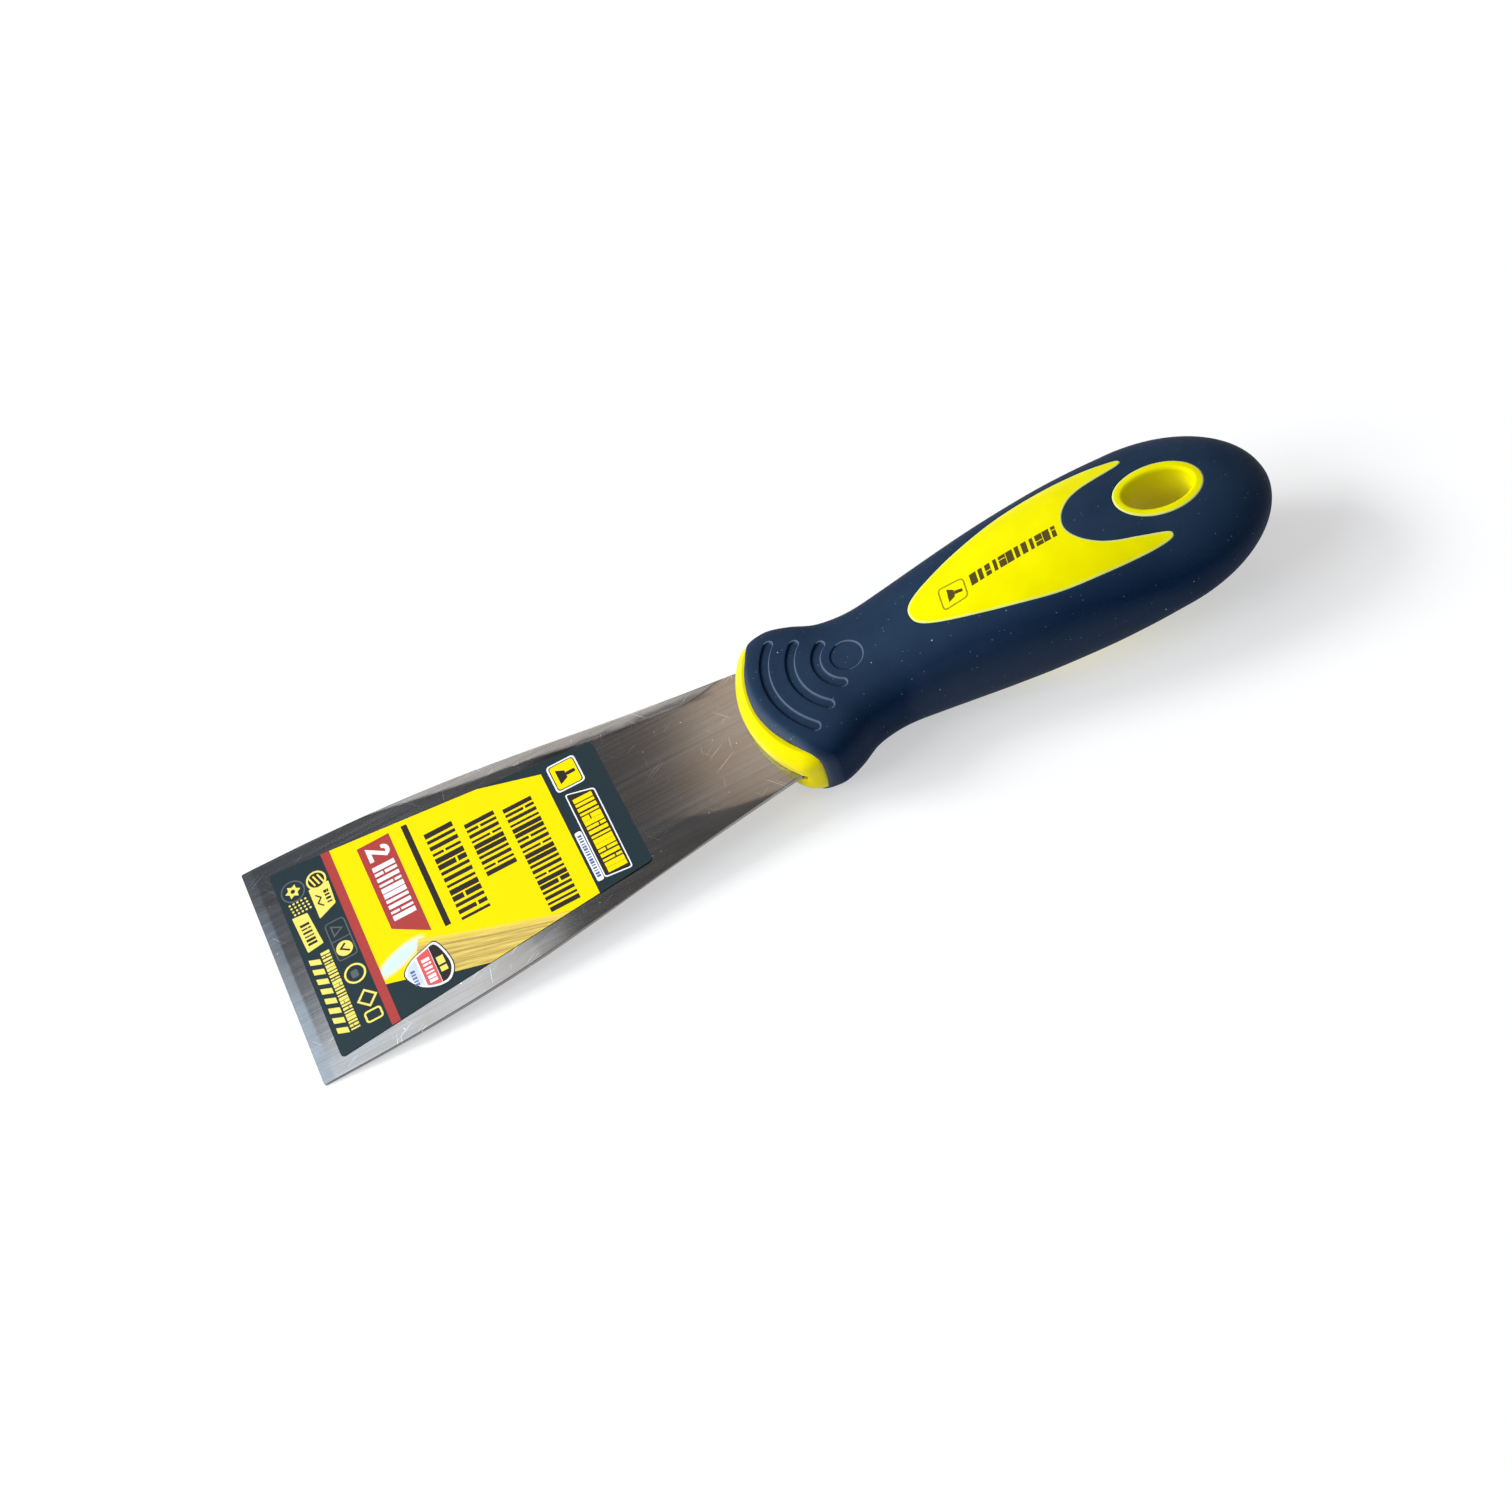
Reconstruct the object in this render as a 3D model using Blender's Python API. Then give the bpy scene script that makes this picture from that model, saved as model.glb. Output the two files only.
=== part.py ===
"""A two inch stainless steel scraper: blade, moulded handle core, rubber grip and label.

The tool is drawn in millimetres, with X measured from the blade's working edge towards the
handle, Y across the blade and Z up from the blade's middle plane. Both are turned into the
part's frame at the end: the meshes are written in metres and hang on one empty, which puts
the origin at the centre of the tool's footprint, level with the lowest point of the handle.
"""

import math

import bmesh
import bpy

MM = 0.001

# Whole tool
TOTAL_LENGTH = 209.4
CLEARANCE = 0.3

# Blade: (distance from the edge, half width)
BLADE_OUTLINE = ((0.0, 25.4), (15.0, 25.0), (30.0, 24.1), (44.0, 22.7), (58.0, 20.7),
                 (72.0, 18.4), (86.0, 16.2), (97.0, 14.6), (104.0, 13.6))
BLADE_THICKNESS = 1.0
TAPER_LENGTH = 45.0
TAPER_END_THICKNESS = 0.56
BEVEL_LENGTH = 2.3
EDGE_THICKNESS = 0.34
BLADE_STEP = 4.0

# Tang, the narrow tail of the blade inside the handle
SHOULDER_START = 102.8
SHOULDER_END = 103.9
TANG_HALF_WIDTH = 7.5
TANG_END = 162.0
TANG_HOLES = (119.0, 135.0, 151.0)
TANG_HOLE_RADIUS = 3.0

# Handle outside: (distance from the edge, value)
HALF_WIDTH = ((97.0, 13.9), (105.5, 13.9), (108.0, 15.3), (110.0, 16.2), (112.0, 16.3),
              (115.0, 15.1), (119.0, 13.1), (123.0, 12.3), (127.0, 12.2), (133.0, 12.8),
              (140.0, 13.7), (148.0, 14.7), (156.0, 15.6), (170.0, 16.8), (184.0, 17.4),
              (TOTAL_LENGTH, 17.3))
HALF_HEIGHT = ((97.0, 8.9), (113.0, 8.9), (119.0, 8.8), (127.0, 9.3), (133.0, 10.2),
               (140.0, 11.1), (148.0, 12.1), (156.0, 12.8), (163.0, 13.0), (170.0, 12.9),
               (177.0, 12.2), (184.0, 11.1), (192.0, 10.5), (TOTAL_LENGTH, 10.3))
SQUARENESS = ((97.0, 3.8), (110.0, 3.7), (118.0, 3.1), (127.0, 2.7), (145.0, 2.55),
              (184.0, 2.45), (TOTAL_LENGTH, 2.3))
ROUND_END_START = 184.0
SECTION_POINTS = 32
SECTION_STEP = 3.6
ROUND_END_STEPS = 9

# The guard and the grip's front edge are arcs about one centre, the grooves about the dot
FRONT_CENTRE_X = 122.8
DOT_X = 120.9
DOT_RADIUS = 3.2
GROOVE_INNER_RADII = (5.0, 9.9, 14.85)
GROOVE_HALF_ANGLES = (57.0, 47.0, 42.5)
GROOVE_WIDTH = 1.8
GROOVE_DEPTH = 0.6
ARC_STEP_DEGREES = 7.5

# Front profiles: (height above the middle plane, arc radius)
GRIP_FRONT = ((6.5, 21.9), (7.6, 21.65), (8.4, 21.1), (9.0, 20.3), (14.0, 20.3))
CORE_FRONT = ((5.0, 22.6), (14.0, 22.6))
GUARD_PROFILE = ((1.0, 24.6), (2.6, 24.4), (4.0, 23.8), (5.2, 23.0), (6.0, 22.4))
GUARD_HALF_WIDTH = 16.3
GUARD_CORNER_RADIUS = 5.5
GUARD_REAR_RADIUS = 22.2
GUARD_REAR_X = 112.0

# Rubber wall over the core
RUBBER_WALL = 2.9

# Inlay: half of the outline, nose to fork tip to bay
INLAY_NOSE = (134.6, 0.0)
INLAY_SIDE = ((135.3, 2.1), (138.0, 4.0), (143.4, 6.2), (150.6, 8.5), (160.1, 10.8),
              (169.7, 11.7), (178.0, 11.75), (183.4, 11.1), (184.8, 10.2), (183.8, 9.3),
              (178.9, 8.15), (174.6, 7.1), (171.4, 5.6), (168.8, 3.1))
INLAY_BAY = (167.7, 0.0)
OUTLINE_STEPS = 3

# Hanging hole, an oval along the tool
RING_X = 187.4
RING_HALF_LENGTH = 9.1
RING_HALF_WIDTH = 6.1
HOLE_HALF_LENGTH = 7.0
HOLE_HALF_WIDTH = 4.2
OVAL_POINTS = 36

# Label: corners (distance from the edge, half width)
LABEL_FRONT = (4.8, 22.0)
LABEL_REAR = (71.4, 15.1)
LABEL_CORNER_RADIUS = 1.5
LABEL_THICKNESS = 0.2

CUT_HEIGHT = 20.0

MATERIALS = {
    "stainless_steel": ((0.47, 0.46, 0.45), 0.3, 1.0),
    "yellow_polypropylene": ((0.90, 0.75, 0.01), 0.35, 0.0),
    "black_rubber": ((0.010, 0.013, 0.022), 0.65, 0.0),
    "label_film": ((0.012, 0.035, 0.045), 0.3, 0.0),
}


# ---- curves and outlines ----------------------------------------------------------------

def curve_value(points, x):
    """The height at x of a smooth curve through (x, height) points, flat beyond its ends."""
    if x <= points[0][0]:
        return points[0][1]
    if x >= points[-1][0]:
        return points[-1][1]
    last = len(points) - 1
    i = next(k for k in range(last) if x <= points[k + 1][0])

    def slope(k):
        low, high = max(k - 1, 0), min(k + 1, last)
        return (points[high][1] - points[low][1]) / (points[high][0] - points[low][0])

    (x0, y0), (x1, y1) = points[i], points[i + 1]
    run = x1 - x0
    t = (x - x0) / run
    return ((2 * t**3 - 3 * t**2 + 1) * y0 + (t**3 - 2 * t**2 + t) * run * slope(i)
            + (3 * t**2 - 2 * t**3) * y1 + (t**3 - t**2) * run * slope(i + 1))


def smooth_loop(points, steps):
    """A closed loop that passes through the points, with steps pieces between each two."""
    count = len(points)
    loop = []
    for i in range(count):
        p0, p1, p2, p3 = (points[(i + k) % count] for k in (-1, 0, 1, 2))
        for j in range(steps):
            t = j / steps
            loop.append(tuple(
                0.5 * (2 * b + (c - a) * t + (2 * a - 5 * b + 4 * c - d) * t**2
                       + (3 * b - a - 3 * c + d) * t**3)
                for a, b, c, d in zip(p0, p1, p2, p3)))
    return loop


def offset_loop(loop, distance):
    """The loop moved outward by a distance; it has to run anticlockwise."""
    moved = []
    for i, (x, y) in enumerate(loop):
        (ax, ay), (bx, by) = loop[i - 1], loop[(i + 1) % len(loop)]
        length = math.hypot(bx - ax, by - ay)
        moved.append((x + distance * (by - ay) / length, y - distance * (bx - ax) / length))
    return moved


def arc(centre, radius, start, end, step=ARC_STEP_DEGREES):
    """Points on an arc, with its angles in degrees from +X towards +Y."""
    pieces = max(2, math.ceil(abs(end - start) / step))
    angles = (math.radians(start + (end - start) * k / pieces) for k in range(pieces + 1))
    return [(centre[0] + radius * math.cos(a), centre[1] + radius * math.sin(a))
            for a in angles]


def inlay_loop(grow=0.0):
    lower = [(x, -y) for x, y in INLAY_SIDE]
    loop = smooth_loop([INLAY_NOSE, *lower, INLAY_BAY, *reversed(INLAY_SIDE)], OUTLINE_STEPS)
    return offset_loop(loop, grow)


def oval_loop(half_length, half_width):
    turns = (2 * math.pi * k / OVAL_POINTS for k in range(OVAL_POINTS))
    return [(RING_X + half_length * math.cos(a), half_width * math.sin(a)) for a in turns]


def front_loop(radius):
    """A half disc with straight sides that run back past the handle."""
    back = TOTAL_LENGTH + 10.0
    return (arc((FRONT_CENTRE_X, 0.0), radius, 90.0, 270.0)
            + [(back, -radius), (back, radius)])


def guard_loop(radius):
    """The guard's outline: a front arc, rounded corners and straight sides."""
    corner = GUARD_CORNER_RADIUS
    half_width = GUARD_HALF_WIDTH - 0.5 * (GUARD_PROFILE[0][1] - radius)
    corner_y = half_width - corner
    corner_x = FRONT_CENTRE_X - math.sqrt((radius - corner)**2 - corner_y**2)
    turn = math.degrees(math.atan2(corner_y, FRONT_CENTRE_X - corner_x))
    loop = arc((corner_x, corner_y), corner, 90.0, 180.0 - turn, 12.0)
    loop += arc((FRONT_CENTRE_X, 0.0), radius, 180.0 - turn, 180.0 + turn, 5.0)[1:-1]
    loop += arc((corner_x, -corner_y), corner, 180.0 + turn, 270.0, 12.0)
    return loop + [(GUARD_REAR_X, -half_width), (GUARD_REAR_X, half_width)]


def groove_loop(inner_radius, half_angle):
    """An arc-shaped slot about the dot, with round ends."""
    outer_radius = inner_radius + GROOVE_WIDTH
    middle = inner_radius + GROOVE_WIDTH / 2
    start, end = 180.0 - half_angle, 180.0 + half_angle
    loop = arc((DOT_X, 0.0), outer_radius, start, end)
    for angle, first, inner_ends in ((end, end, True), (start, start + 180.0, False)):
        centre = arc((DOT_X, 0.0), middle, angle, angle)[0]
        loop += arc(centre, GROOVE_WIDTH / 2, first, first + 180.0, 45.0)[1:-1]
        if inner_ends:
            loop += arc((DOT_X, 0.0), inner_radius, end, start)
    return loop


def label_loop():
    """The label's four corners, each a small arc."""
    front, rear = LABEL_FRONT, LABEL_REAR
    radius = LABEL_CORNER_RADIUS
    lean = math.degrees(math.atan2(front[1] - rear[1], rear[0] - front[0]))
    front_inset = radius / math.cos(math.radians(lean)) + radius * math.tan(math.radians(lean))
    rear_inset = radius / math.cos(math.radians(lean)) - radius * math.tan(math.radians(lean))
    front_centre = (front[0] + radius, front[1] - front_inset)
    rear_centre = (rear[0] - radius, rear[1] - rear_inset)
    upper = arc(rear_centre, radius, 0.0, 90.0 - lean, 30.0)
    upper += arc(front_centre, radius, 90.0 - lean, 180.0, 30.0)
    return upper + [(x, -y) for x, y in reversed(upper)]


# ---- meshes -----------------------------------------------------------------------------

def add_body(name, rings):
    """A closed body through rings of points; a ring of one point closes an end."""
    mesh = bpy.data.meshes.new(name)
    bm = bmesh.new()
    made = [[bm.verts.new([MM * c for c in point]) for point in ring] for ring in rings]
    for first, second in zip(made, made[1:]):
        count = max(len(first), len(second))
        for i in range(count):
            j = (i + 1) % count
            corners = [first[i % len(first)], first[j % len(first)],
                       second[j % len(second)], second[i % len(second)]]
            bm.faces.new(list(dict.fromkeys(corners)))
    for end in (made[0], made[-1]):
        if len(end) > 2:
            bm.faces.new(end)
    bmesh.ops.recalc_face_normals(bm, faces=bm.faces)
    bm.to_mesh(mesh)
    bm.free()
    body = bpy.data.objects.new(name, mesh)
    bpy.context.scene.collection.objects.link(body)
    body.parent = tool
    return body


def add_prism(name, layers):
    """A body through flat outlines, given as (height, outline) from the bottom up."""
    return add_body(name, [[(x, y, z) for x, y in outline] for z, outline in layers])


def mirrored_layers(profile, outline_of):
    """Layers above and below the middle plane from (height, radius) pairs."""
    upper = [(height, outline_of(radius)) for height, radius in profile]
    return [(-height, outline) for height, outline in reversed(upper)] + upper


def as_cutter(body):
    body.hide_render = True
    body.display_type = "WIRE"
    return body


def combine(body, operation, other):
    """Leaves a Boolean modifier on the body, with the other body as its hidden cutter."""
    modifier = body.modifiers.new(f"{operation.lower()}_{other.name}", "BOOLEAN")
    modifier.operation = operation
    modifier.solver = "EXACT"
    modifier.object = as_cutter(other)


def dress(body, material_name, smooth_angle=35.0):
    """Gives a body its material and smooth shading between its sharp edges."""
    colour, roughness, metallic = MATERIALS[material_name]
    material = bpy.data.materials.new(material_name)
    material.use_nodes = True
    shader = material.node_tree.nodes["Principled BSDF"]
    shader.inputs["Base Color"].default_value = (*colour, 1.0)
    shader.inputs["Roughness"].default_value = roughness
    shader.inputs["Metallic"].default_value = metallic
    body.data.materials.append(material)
    body.data.shade_smooth()
    body.data.set_sharp_from_angle(angle=math.radians(smooth_angle))


# ---- handle shape -----------------------------------------------------------------------

def handle_section(x, half_width, half_height, squareness):
    """One cross-section of the handle, a superellipse."""
    power = 2.0 / squareness
    ring = []
    for k in range(SECTION_POINTS):
        turn = 2 * math.pi * k / SECTION_POINTS
        c, s = math.cos(turn), math.sin(turn)
        ring.append((x, half_width * math.copysign(abs(c)**power, c),
                     half_height * math.copysign(abs(s)**power, s)))
    return ring


def add_envelope(name, inset=0.0):
    """The handle's outer shape, shrunk by an inset all round."""
    start = HALF_WIDTH[0][0]
    reach = TOTAL_LENGTH - inset - ROUND_END_START
    steps = round((ROUND_END_START - start) / SECTION_STEP)
    places = [(start + (ROUND_END_START - start) * k / steps, 1.0) for k in range(steps)]
    for k in range(ROUND_END_STEPS):
        turn = 0.5 * math.pi * k / ROUND_END_STEPS
        places.append((ROUND_END_START + reach * math.sin(turn), math.cos(turn)))
    rings = [handle_section(x, scale * (curve_value(HALF_WIDTH, x) - inset),
                            scale * (curve_value(HALF_HEIGHT, x) - inset),
                            curve_value(SQUARENESS, x)) for x, scale in places]
    rings.append([(ROUND_END_START + reach, 0.0, 0.0)])
    return add_body(name, rings)


def add_column(name, loop):
    """An outline that runs right through the handle from front to back."""
    return add_prism(name, [(-CUT_HEIGHT, loop), (CUT_HEIGHT, loop)])


# ---- blade ------------------------------------------------------------------------------

def blade_half_thickness(x):
    if x >= TAPER_LENGTH:
        return BLADE_THICKNESS / 2
    if x >= BEVEL_LENGTH:
        share = (x - BEVEL_LENGTH) / (TAPER_LENGTH - BEVEL_LENGTH)
        return (TAPER_END_THICKNESS + share * (BLADE_THICKNESS - TAPER_END_THICKNESS)) / 2
    share = x / BEVEL_LENGTH
    return (EDGE_THICKNESS + share * (TAPER_END_THICKNESS - EDGE_THICKNESS)) / 2


def blade_half_width(x):
    if x <= SHOULDER_START:
        return curve_value(BLADE_OUTLINE, x)
    share = min(1.0, (x - SHOULDER_START) / (SHOULDER_END - SHOULDER_START))
    shoulder = BLADE_OUTLINE[-1][1]
    return shoulder - (shoulder - TANG_HALF_WIDTH) * (1.0 - math.cos(0.5 * math.pi * share))


def blade_stations():
    """Distances from the edge at which the blade's section is drawn."""
    pieces = round((SHOULDER_START - TAPER_LENGTH) / BLADE_STEP)
    front = round((TAPER_LENGTH - BEVEL_LENGTH) / BLADE_STEP)
    stations = [0.0]
    stations += [BEVEL_LENGTH + (TAPER_LENGTH - BEVEL_LENGTH) * k / front
                 for k in range(front)]
    stations += [TAPER_LENGTH + (SHOULDER_START - TAPER_LENGTH) * k / pieces
                 for k in range(pieces)]
    stations += [SHOULDER_START + (SHOULDER_END - SHOULDER_START) * k / 4 for k in range(5)]
    return stations + [TANG_END]


def add_blade(name, grow=0.0):
    """The blade and tang, with the sections grown outward and the tang holes shrunk."""
    rings = []
    for x in blade_stations():
        y = blade_half_width(x) + grow
        z = blade_half_thickness(x) + grow
        end = x + grow if x == TANG_END else x
        rings.append([(end, y, -z), (end, y, z), (end, -y, z), (end, -y, -z)])
    blade = add_body(name, rings)
    for k, x in enumerate(TANG_HOLES):
        loop = arc((x, 0.0), TANG_HOLE_RADIUS - grow, 0.0, 345.0, 15.0)
        combine(blade, "DIFFERENCE", add_column(f"{name}_hole_{k + 1}", loop))
    return blade


# ---- pieces -----------------------------------------------------------------------------

def make_blade():
    dress(add_blade("blade"), "stainless_steel", 20.0)


def make_handle_core():
    """Guard, tang housing, both inlay lands and the hanging hole's sleeve, in one moulding."""
    guard = add_prism("guard", mirrored_layers(GUARD_PROFILE, guard_loop))
    combine(guard, "DIFFERENCE",
            add_column("guard_rear", front_loop(GUARD_REAR_RADIUS)))

    core = add_envelope("handle_core", RUBBER_WALL)
    combine(core, "UNION", add_column("inlay_land", inlay_loop()))
    combine(core, "UNION",
            add_column("hole_sleeve", oval_loop(RING_HALF_LENGTH, RING_HALF_WIDTH)))
    combine(core, "INTERSECT", add_envelope("core_limit"))
    combine(core, "INTERSECT",
            add_prism("core_front", mirrored_layers(CORE_FRONT, front_loop)))
    combine(core, "UNION", guard)
    combine(core, "DIFFERENCE",
            add_column("hanging_hole", oval_loop(HOLE_HALF_LENGTH, HOLE_HALF_WIDTH)))
    combine(core, "DIFFERENCE", add_blade("tang_slot", CLEARANCE))
    dress(core, "yellow_polypropylene")


def make_grip():
    """The rubber skin, with windows for the lands, the sleeve and the front of the core."""
    grip = add_envelope("grip")
    combine(grip, "INTERSECT",
            add_prism("grip_front", mirrored_layers(GRIP_FRONT, front_loop)))
    combine(grip, "DIFFERENCE", add_envelope("core_space", RUBBER_WALL - CLEARANCE))
    combine(grip, "DIFFERENCE", add_column("inlay_window", inlay_loop(CLEARANCE)))
    combine(grip, "DIFFERENCE",
            add_column("sleeve_window", oval_loop(RING_HALF_LENGTH + CLEARANCE,
                                                  RING_HALF_WIDTH + CLEARANCE)))
    recesses = [groove_loop(radius, angle)
                for radius, angle in zip(GROOVE_INNER_RADII, GROOVE_HALF_ANGLES)]
    recesses.append(arc((DOT_X, 0.0), DOT_RADIUS, 0.0, 345.0, 15.0))
    for k, loop in enumerate(recesses):
        recess = add_column(f"recess_{k + 1}", loop)
        combine(recess, "DIFFERENCE", add_envelope(f"recess_floor_{k + 1}", GROOVE_DEPTH))
        combine(grip, "DIFFERENCE", recess)
    dress(grip, "black_rubber")


def make_label():
    """A printed film on the front of the blade, which follows the blade's taper."""
    label = add_prism("label", [(0.0, label_loop()), (LABEL_THICKNESS, label_loop())])
    bm = bmesh.new()
    bm.from_mesh(label.data)
    geometry = bm.verts[:] + bm.edges[:] + bm.faces[:]
    bmesh.ops.bisect_plane(bm, geom=geometry, plane_co=(TAPER_LENGTH * MM, 0.0, 0.0),
                           plane_no=(1.0, 0.0, 0.0))
    for vert in bm.verts:
        vert.co.z += (blade_half_thickness(vert.co.x / MM) + CLEARANCE) * MM
    bm.to_mesh(label.data)
    bm.free()
    dress(label, "label_film")


for old in list(bpy.data.objects):
    bpy.data.objects.remove(old, do_unlink=True)

tool = bpy.data.objects.new("scraper", None)
bpy.context.scene.collection.objects.link(tool)
tool.location = (-TOTAL_LENGTH * MM / 2, 0.0, max(z for _, z in HALF_HEIGHT) * MM)

make_blade()
make_handle_core()
make_grip()
make_label()
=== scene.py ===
"""The looks of the two inch scraper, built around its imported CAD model.

Shapes are drawn in millimetres in the tool's own frame: X runs from the blade's working edge
to the end of the handle, Y across the blade and Z up from the blade's middle plane. The pieces
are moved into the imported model's frame, whose position is read from the CAD blade.
"""

import math

import bmesh
import bpy
import numpy as np
from mathutils import Matrix, Vector


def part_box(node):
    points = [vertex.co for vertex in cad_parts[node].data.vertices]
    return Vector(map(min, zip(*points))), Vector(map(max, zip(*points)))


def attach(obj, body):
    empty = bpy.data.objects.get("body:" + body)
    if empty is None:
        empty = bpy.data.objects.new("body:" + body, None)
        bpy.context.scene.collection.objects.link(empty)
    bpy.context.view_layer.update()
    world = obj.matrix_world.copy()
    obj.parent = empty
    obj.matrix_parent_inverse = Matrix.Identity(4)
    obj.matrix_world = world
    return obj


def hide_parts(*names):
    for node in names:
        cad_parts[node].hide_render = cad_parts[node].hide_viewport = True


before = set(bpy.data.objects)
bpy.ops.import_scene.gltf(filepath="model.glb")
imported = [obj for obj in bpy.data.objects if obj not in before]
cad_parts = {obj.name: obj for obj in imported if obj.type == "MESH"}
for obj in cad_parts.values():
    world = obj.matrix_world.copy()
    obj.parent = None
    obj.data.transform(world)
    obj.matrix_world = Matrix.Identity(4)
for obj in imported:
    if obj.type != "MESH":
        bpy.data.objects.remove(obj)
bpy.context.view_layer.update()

MM = 0.001
BLADE_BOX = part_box("blade")
EDGE_X = BLADE_BOX[0].x
MIDDLE_Z = (BLADE_BOX[0].z + BLADE_BOX[1].z) / 2
ORIGIN = (EDGE_X, 0.0, MIDDLE_Z)

TOTAL_LENGTH = 209.4

# Handle's outside: (distance from the working edge, value)
HALF_WIDTH = ((97.0, 14.2), (103.0, 15.4), (106.0, 16.1), (108.5, 16.4), (111.0, 16.4),
              (115.0, 15.1), (119.0, 13.1), (123.0, 12.3), (127.0, 12.2), (133.0, 12.8),
              (140.0, 13.7), (148.0, 14.7), (156.0, 15.6), (170.0, 16.8), (184.0, 17.4),
              (TOTAL_LENGTH, 17.3))
HALF_HEIGHT = ((97.0, 8.9), (113.0, 8.9), (119.0, 8.8), (127.0, 9.3), (133.0, 10.2),
               (140.0, 11.1), (148.0, 12.1), (156.0, 12.8), (163.0, 13.0), (170.0, 12.9),
               (177.0, 12.2), (184.0, 11.1), (192.0, 10.5), (TOTAL_LENGTH, 10.3))
SQUARENESS = ((97.0, 3.8), (110.0, 3.7), (118.0, 3.1), (127.0, 2.7), (145.0, 2.55),
              (184.0, 2.45), (TOTAL_LENGTH, 2.3))
ROUND_END_START = 184.0
ROUND_END = TOTAL_LENGTH - ROUND_END_START

# Grip: its front edge is an arc whose ends, the ears, reach forward, and it is rolled over
GRIP_START = 99.0
GRIP_WALL = 3.0
FRONT_CENTRE_X = 122.8
GRIP_FRONT_RADIUS = 21.9
EAR_START = 10.5
EAR_END = 16.4
EAR_REACH = 0.9
FRONT_LEVELS = (0.06, 0.2, 0.42, 0.75, 1.2, 1.7, 2.3)
FRONT_LIP = FRONT_LEVELS[-1]
FRONT_HEIGHT = 6.4
FRONT_SOFTNESS = 0.35
FRONT_NARROWING = 0.045

# Guard: (height, front radius), and its plan
GUARD_PROFILE = ((0.0, 24.1), (1.0, 24.15), (2.6, 24.3), (4.0, 23.9), (5.2, 23.1), (6.0, 22.4))
GUARD_HALF_WIDTH = 15.6
GUARD_TUCK = 0.4
GUARD_HALF_HEIGHT = 6.75
GUARD_CORNER_RADIUS = 4.2
GUARD_REAR_RADIUS = 21.6
SLOT_START = 95.0
SLOT_END = 105.2
SLOT_HALF_WIDTH = 14.7
SLOT_HALF_HEIGHT = 0.62

# Grooves about the dot: (inner radius, half angle)
DOT_X = 120.9
DOT_RADIUS = 3.2
DOT_DEPTH = 0.3
GROOVES = ((5.0, 57.0), (9.9, 47.0), (14.85, 42.5))
GROOVE_WIDTH = 1.8
GROOVE_DEPTH = 0.45
GROOVE_LEVELS = (-0.1, -0.04, 0.03, 0.1, 0.17, 0.24)
# Width of the painted highlight on the groove walls that face the light
RIM_HIGHLIGHT_WIDTH = 0.16

# Inlay, the patch of skin it is cut from, and its window in the grip; a lip is (radius, drop)
INLAY_NOSE = (134.6, 0.0)
INLAY_SIDE = ((135.3, 2.1), (138.0, 4.0), (143.4, 6.2), (150.6, 8.5), (160.1, 10.8),
              (169.7, 11.7), (178.0, 11.75), (183.4, 11.1), (184.8, 10.2), (183.8, 9.3),
              (178.9, 8.15), (174.6, 7.1), (171.4, 5.6), (168.8, 3.1))
INLAY_BAY = (167.7, 0.0)
PATCH_START = 132.0
PATCH_END = 187.0
PATCH_TURN = 1.0
INLAY_PROUD = 0.05
INLAY_WALL = 3.2
INLAY_LIP = (0.35, 0.12)
INLAY_LEVELS = (-0.02, -0.07, -0.13, -0.19, -0.26, -0.35)
# How far the painted highlight reaches either side of the inlay's edge
EDGE_HIGHLIGHT_LINE = 0.36
WINDOW_LIP = (0.3, 0.16)
WINDOW_LEVELS = (0.03, 0.09, 0.18, 0.3)
FIELD_REACH = 3.0

# Hanging hole and its sleeve
RING_X = 187.4
RING_HALF_LENGTH = 9.1
RING_HALF_WIDTH = 6.1
HOLE_HALF_LENGTH = 7.0
HOLE_HALF_WIDTH = 4.2
# Rings at each rim's outer edge that take the sleeve's painted highlight
SLEEVE_HIGHLIGHT_RINGS = 5

# Blade: its outline, and where the ground margins start on each side
BLADE_OUTLINE = ((0.0, 25.4), (15.0, 25.0), (30.0, 24.1), (44.0, 22.7), (58.0, 20.7),
                 (72.0, 18.4), (86.0, 16.2), (97.0, 14.6), (104.0, 13.6))
UPPER_LAND = ((0.0, 30.0), (45.0, 20.2), (58.0, 18.2), (72.0, 15.2), (82.0, 13.9),
              (90.0, 12.9), (94.0, 13.2), (99.0, 14.2), (104.0, 14.6))
LOWER_LAND = ((0.0, 30.0), (50.0, 18.5), (66.0, 9.0), (76.0, 8.6), (83.0, 11.3),
              (87.0, 12.5), (92.0, 13.6), (97.0, 14.3), (104.0, 14.6))
UPPER_SLOPE = 0.055
LOWER_SLOPE = 0.02
BLADE_END = 106.0
BLADE_THICKNESS = 1.0
TAPER_LENGTH = 45.0
TAPER_END_THICKNESS = 0.56
BEVEL_LENGTH = 2.3
EDGE_THICKNESS = 0.34
LEAST_HALF_THICKNESS = 0.14
SIDE_LIP = (0.12, 0.08)
CORNER_LIP = (0.5, 0.4)
# A dark streak on the blade: its start, direction and length
STREAK_START = (97.0, 12.9)
STREAK_TURN = math.radians(173.5)
STREAK_LENGTH = 40.0
# Length over which the steel is tinted cooler toward the working edge, a painted reflection
COOL_REFLECTION_LENGTH = 60.0

# Label and its print
LABEL_FRONT = (4.8, 22.0)
LABEL_REAR = (71.4, 15.1)
LABEL_CORNER_RADIUS = 1.0
LABEL_TOP = 0.13
LAYER = 0.012
BAR_BREAKS = ((), (0.42,), (), (), (0.66,), (), ())
BAR_GAP = 0.035
BAR_WIDTHS = (1.25, 0.8, 1.0, 0.65, 1.3)
SHEEN_START = (21.5, -8.6)
SHEEN_TURN = math.radians(20.0)
PLANK_START = (26.0, -6.8)
PLANK_TURN = math.radians(-20.0)
PLANK_WIDTH = 2.3
YELLOW_GLOSS = (1.0, 0.95, 0.3)

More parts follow.
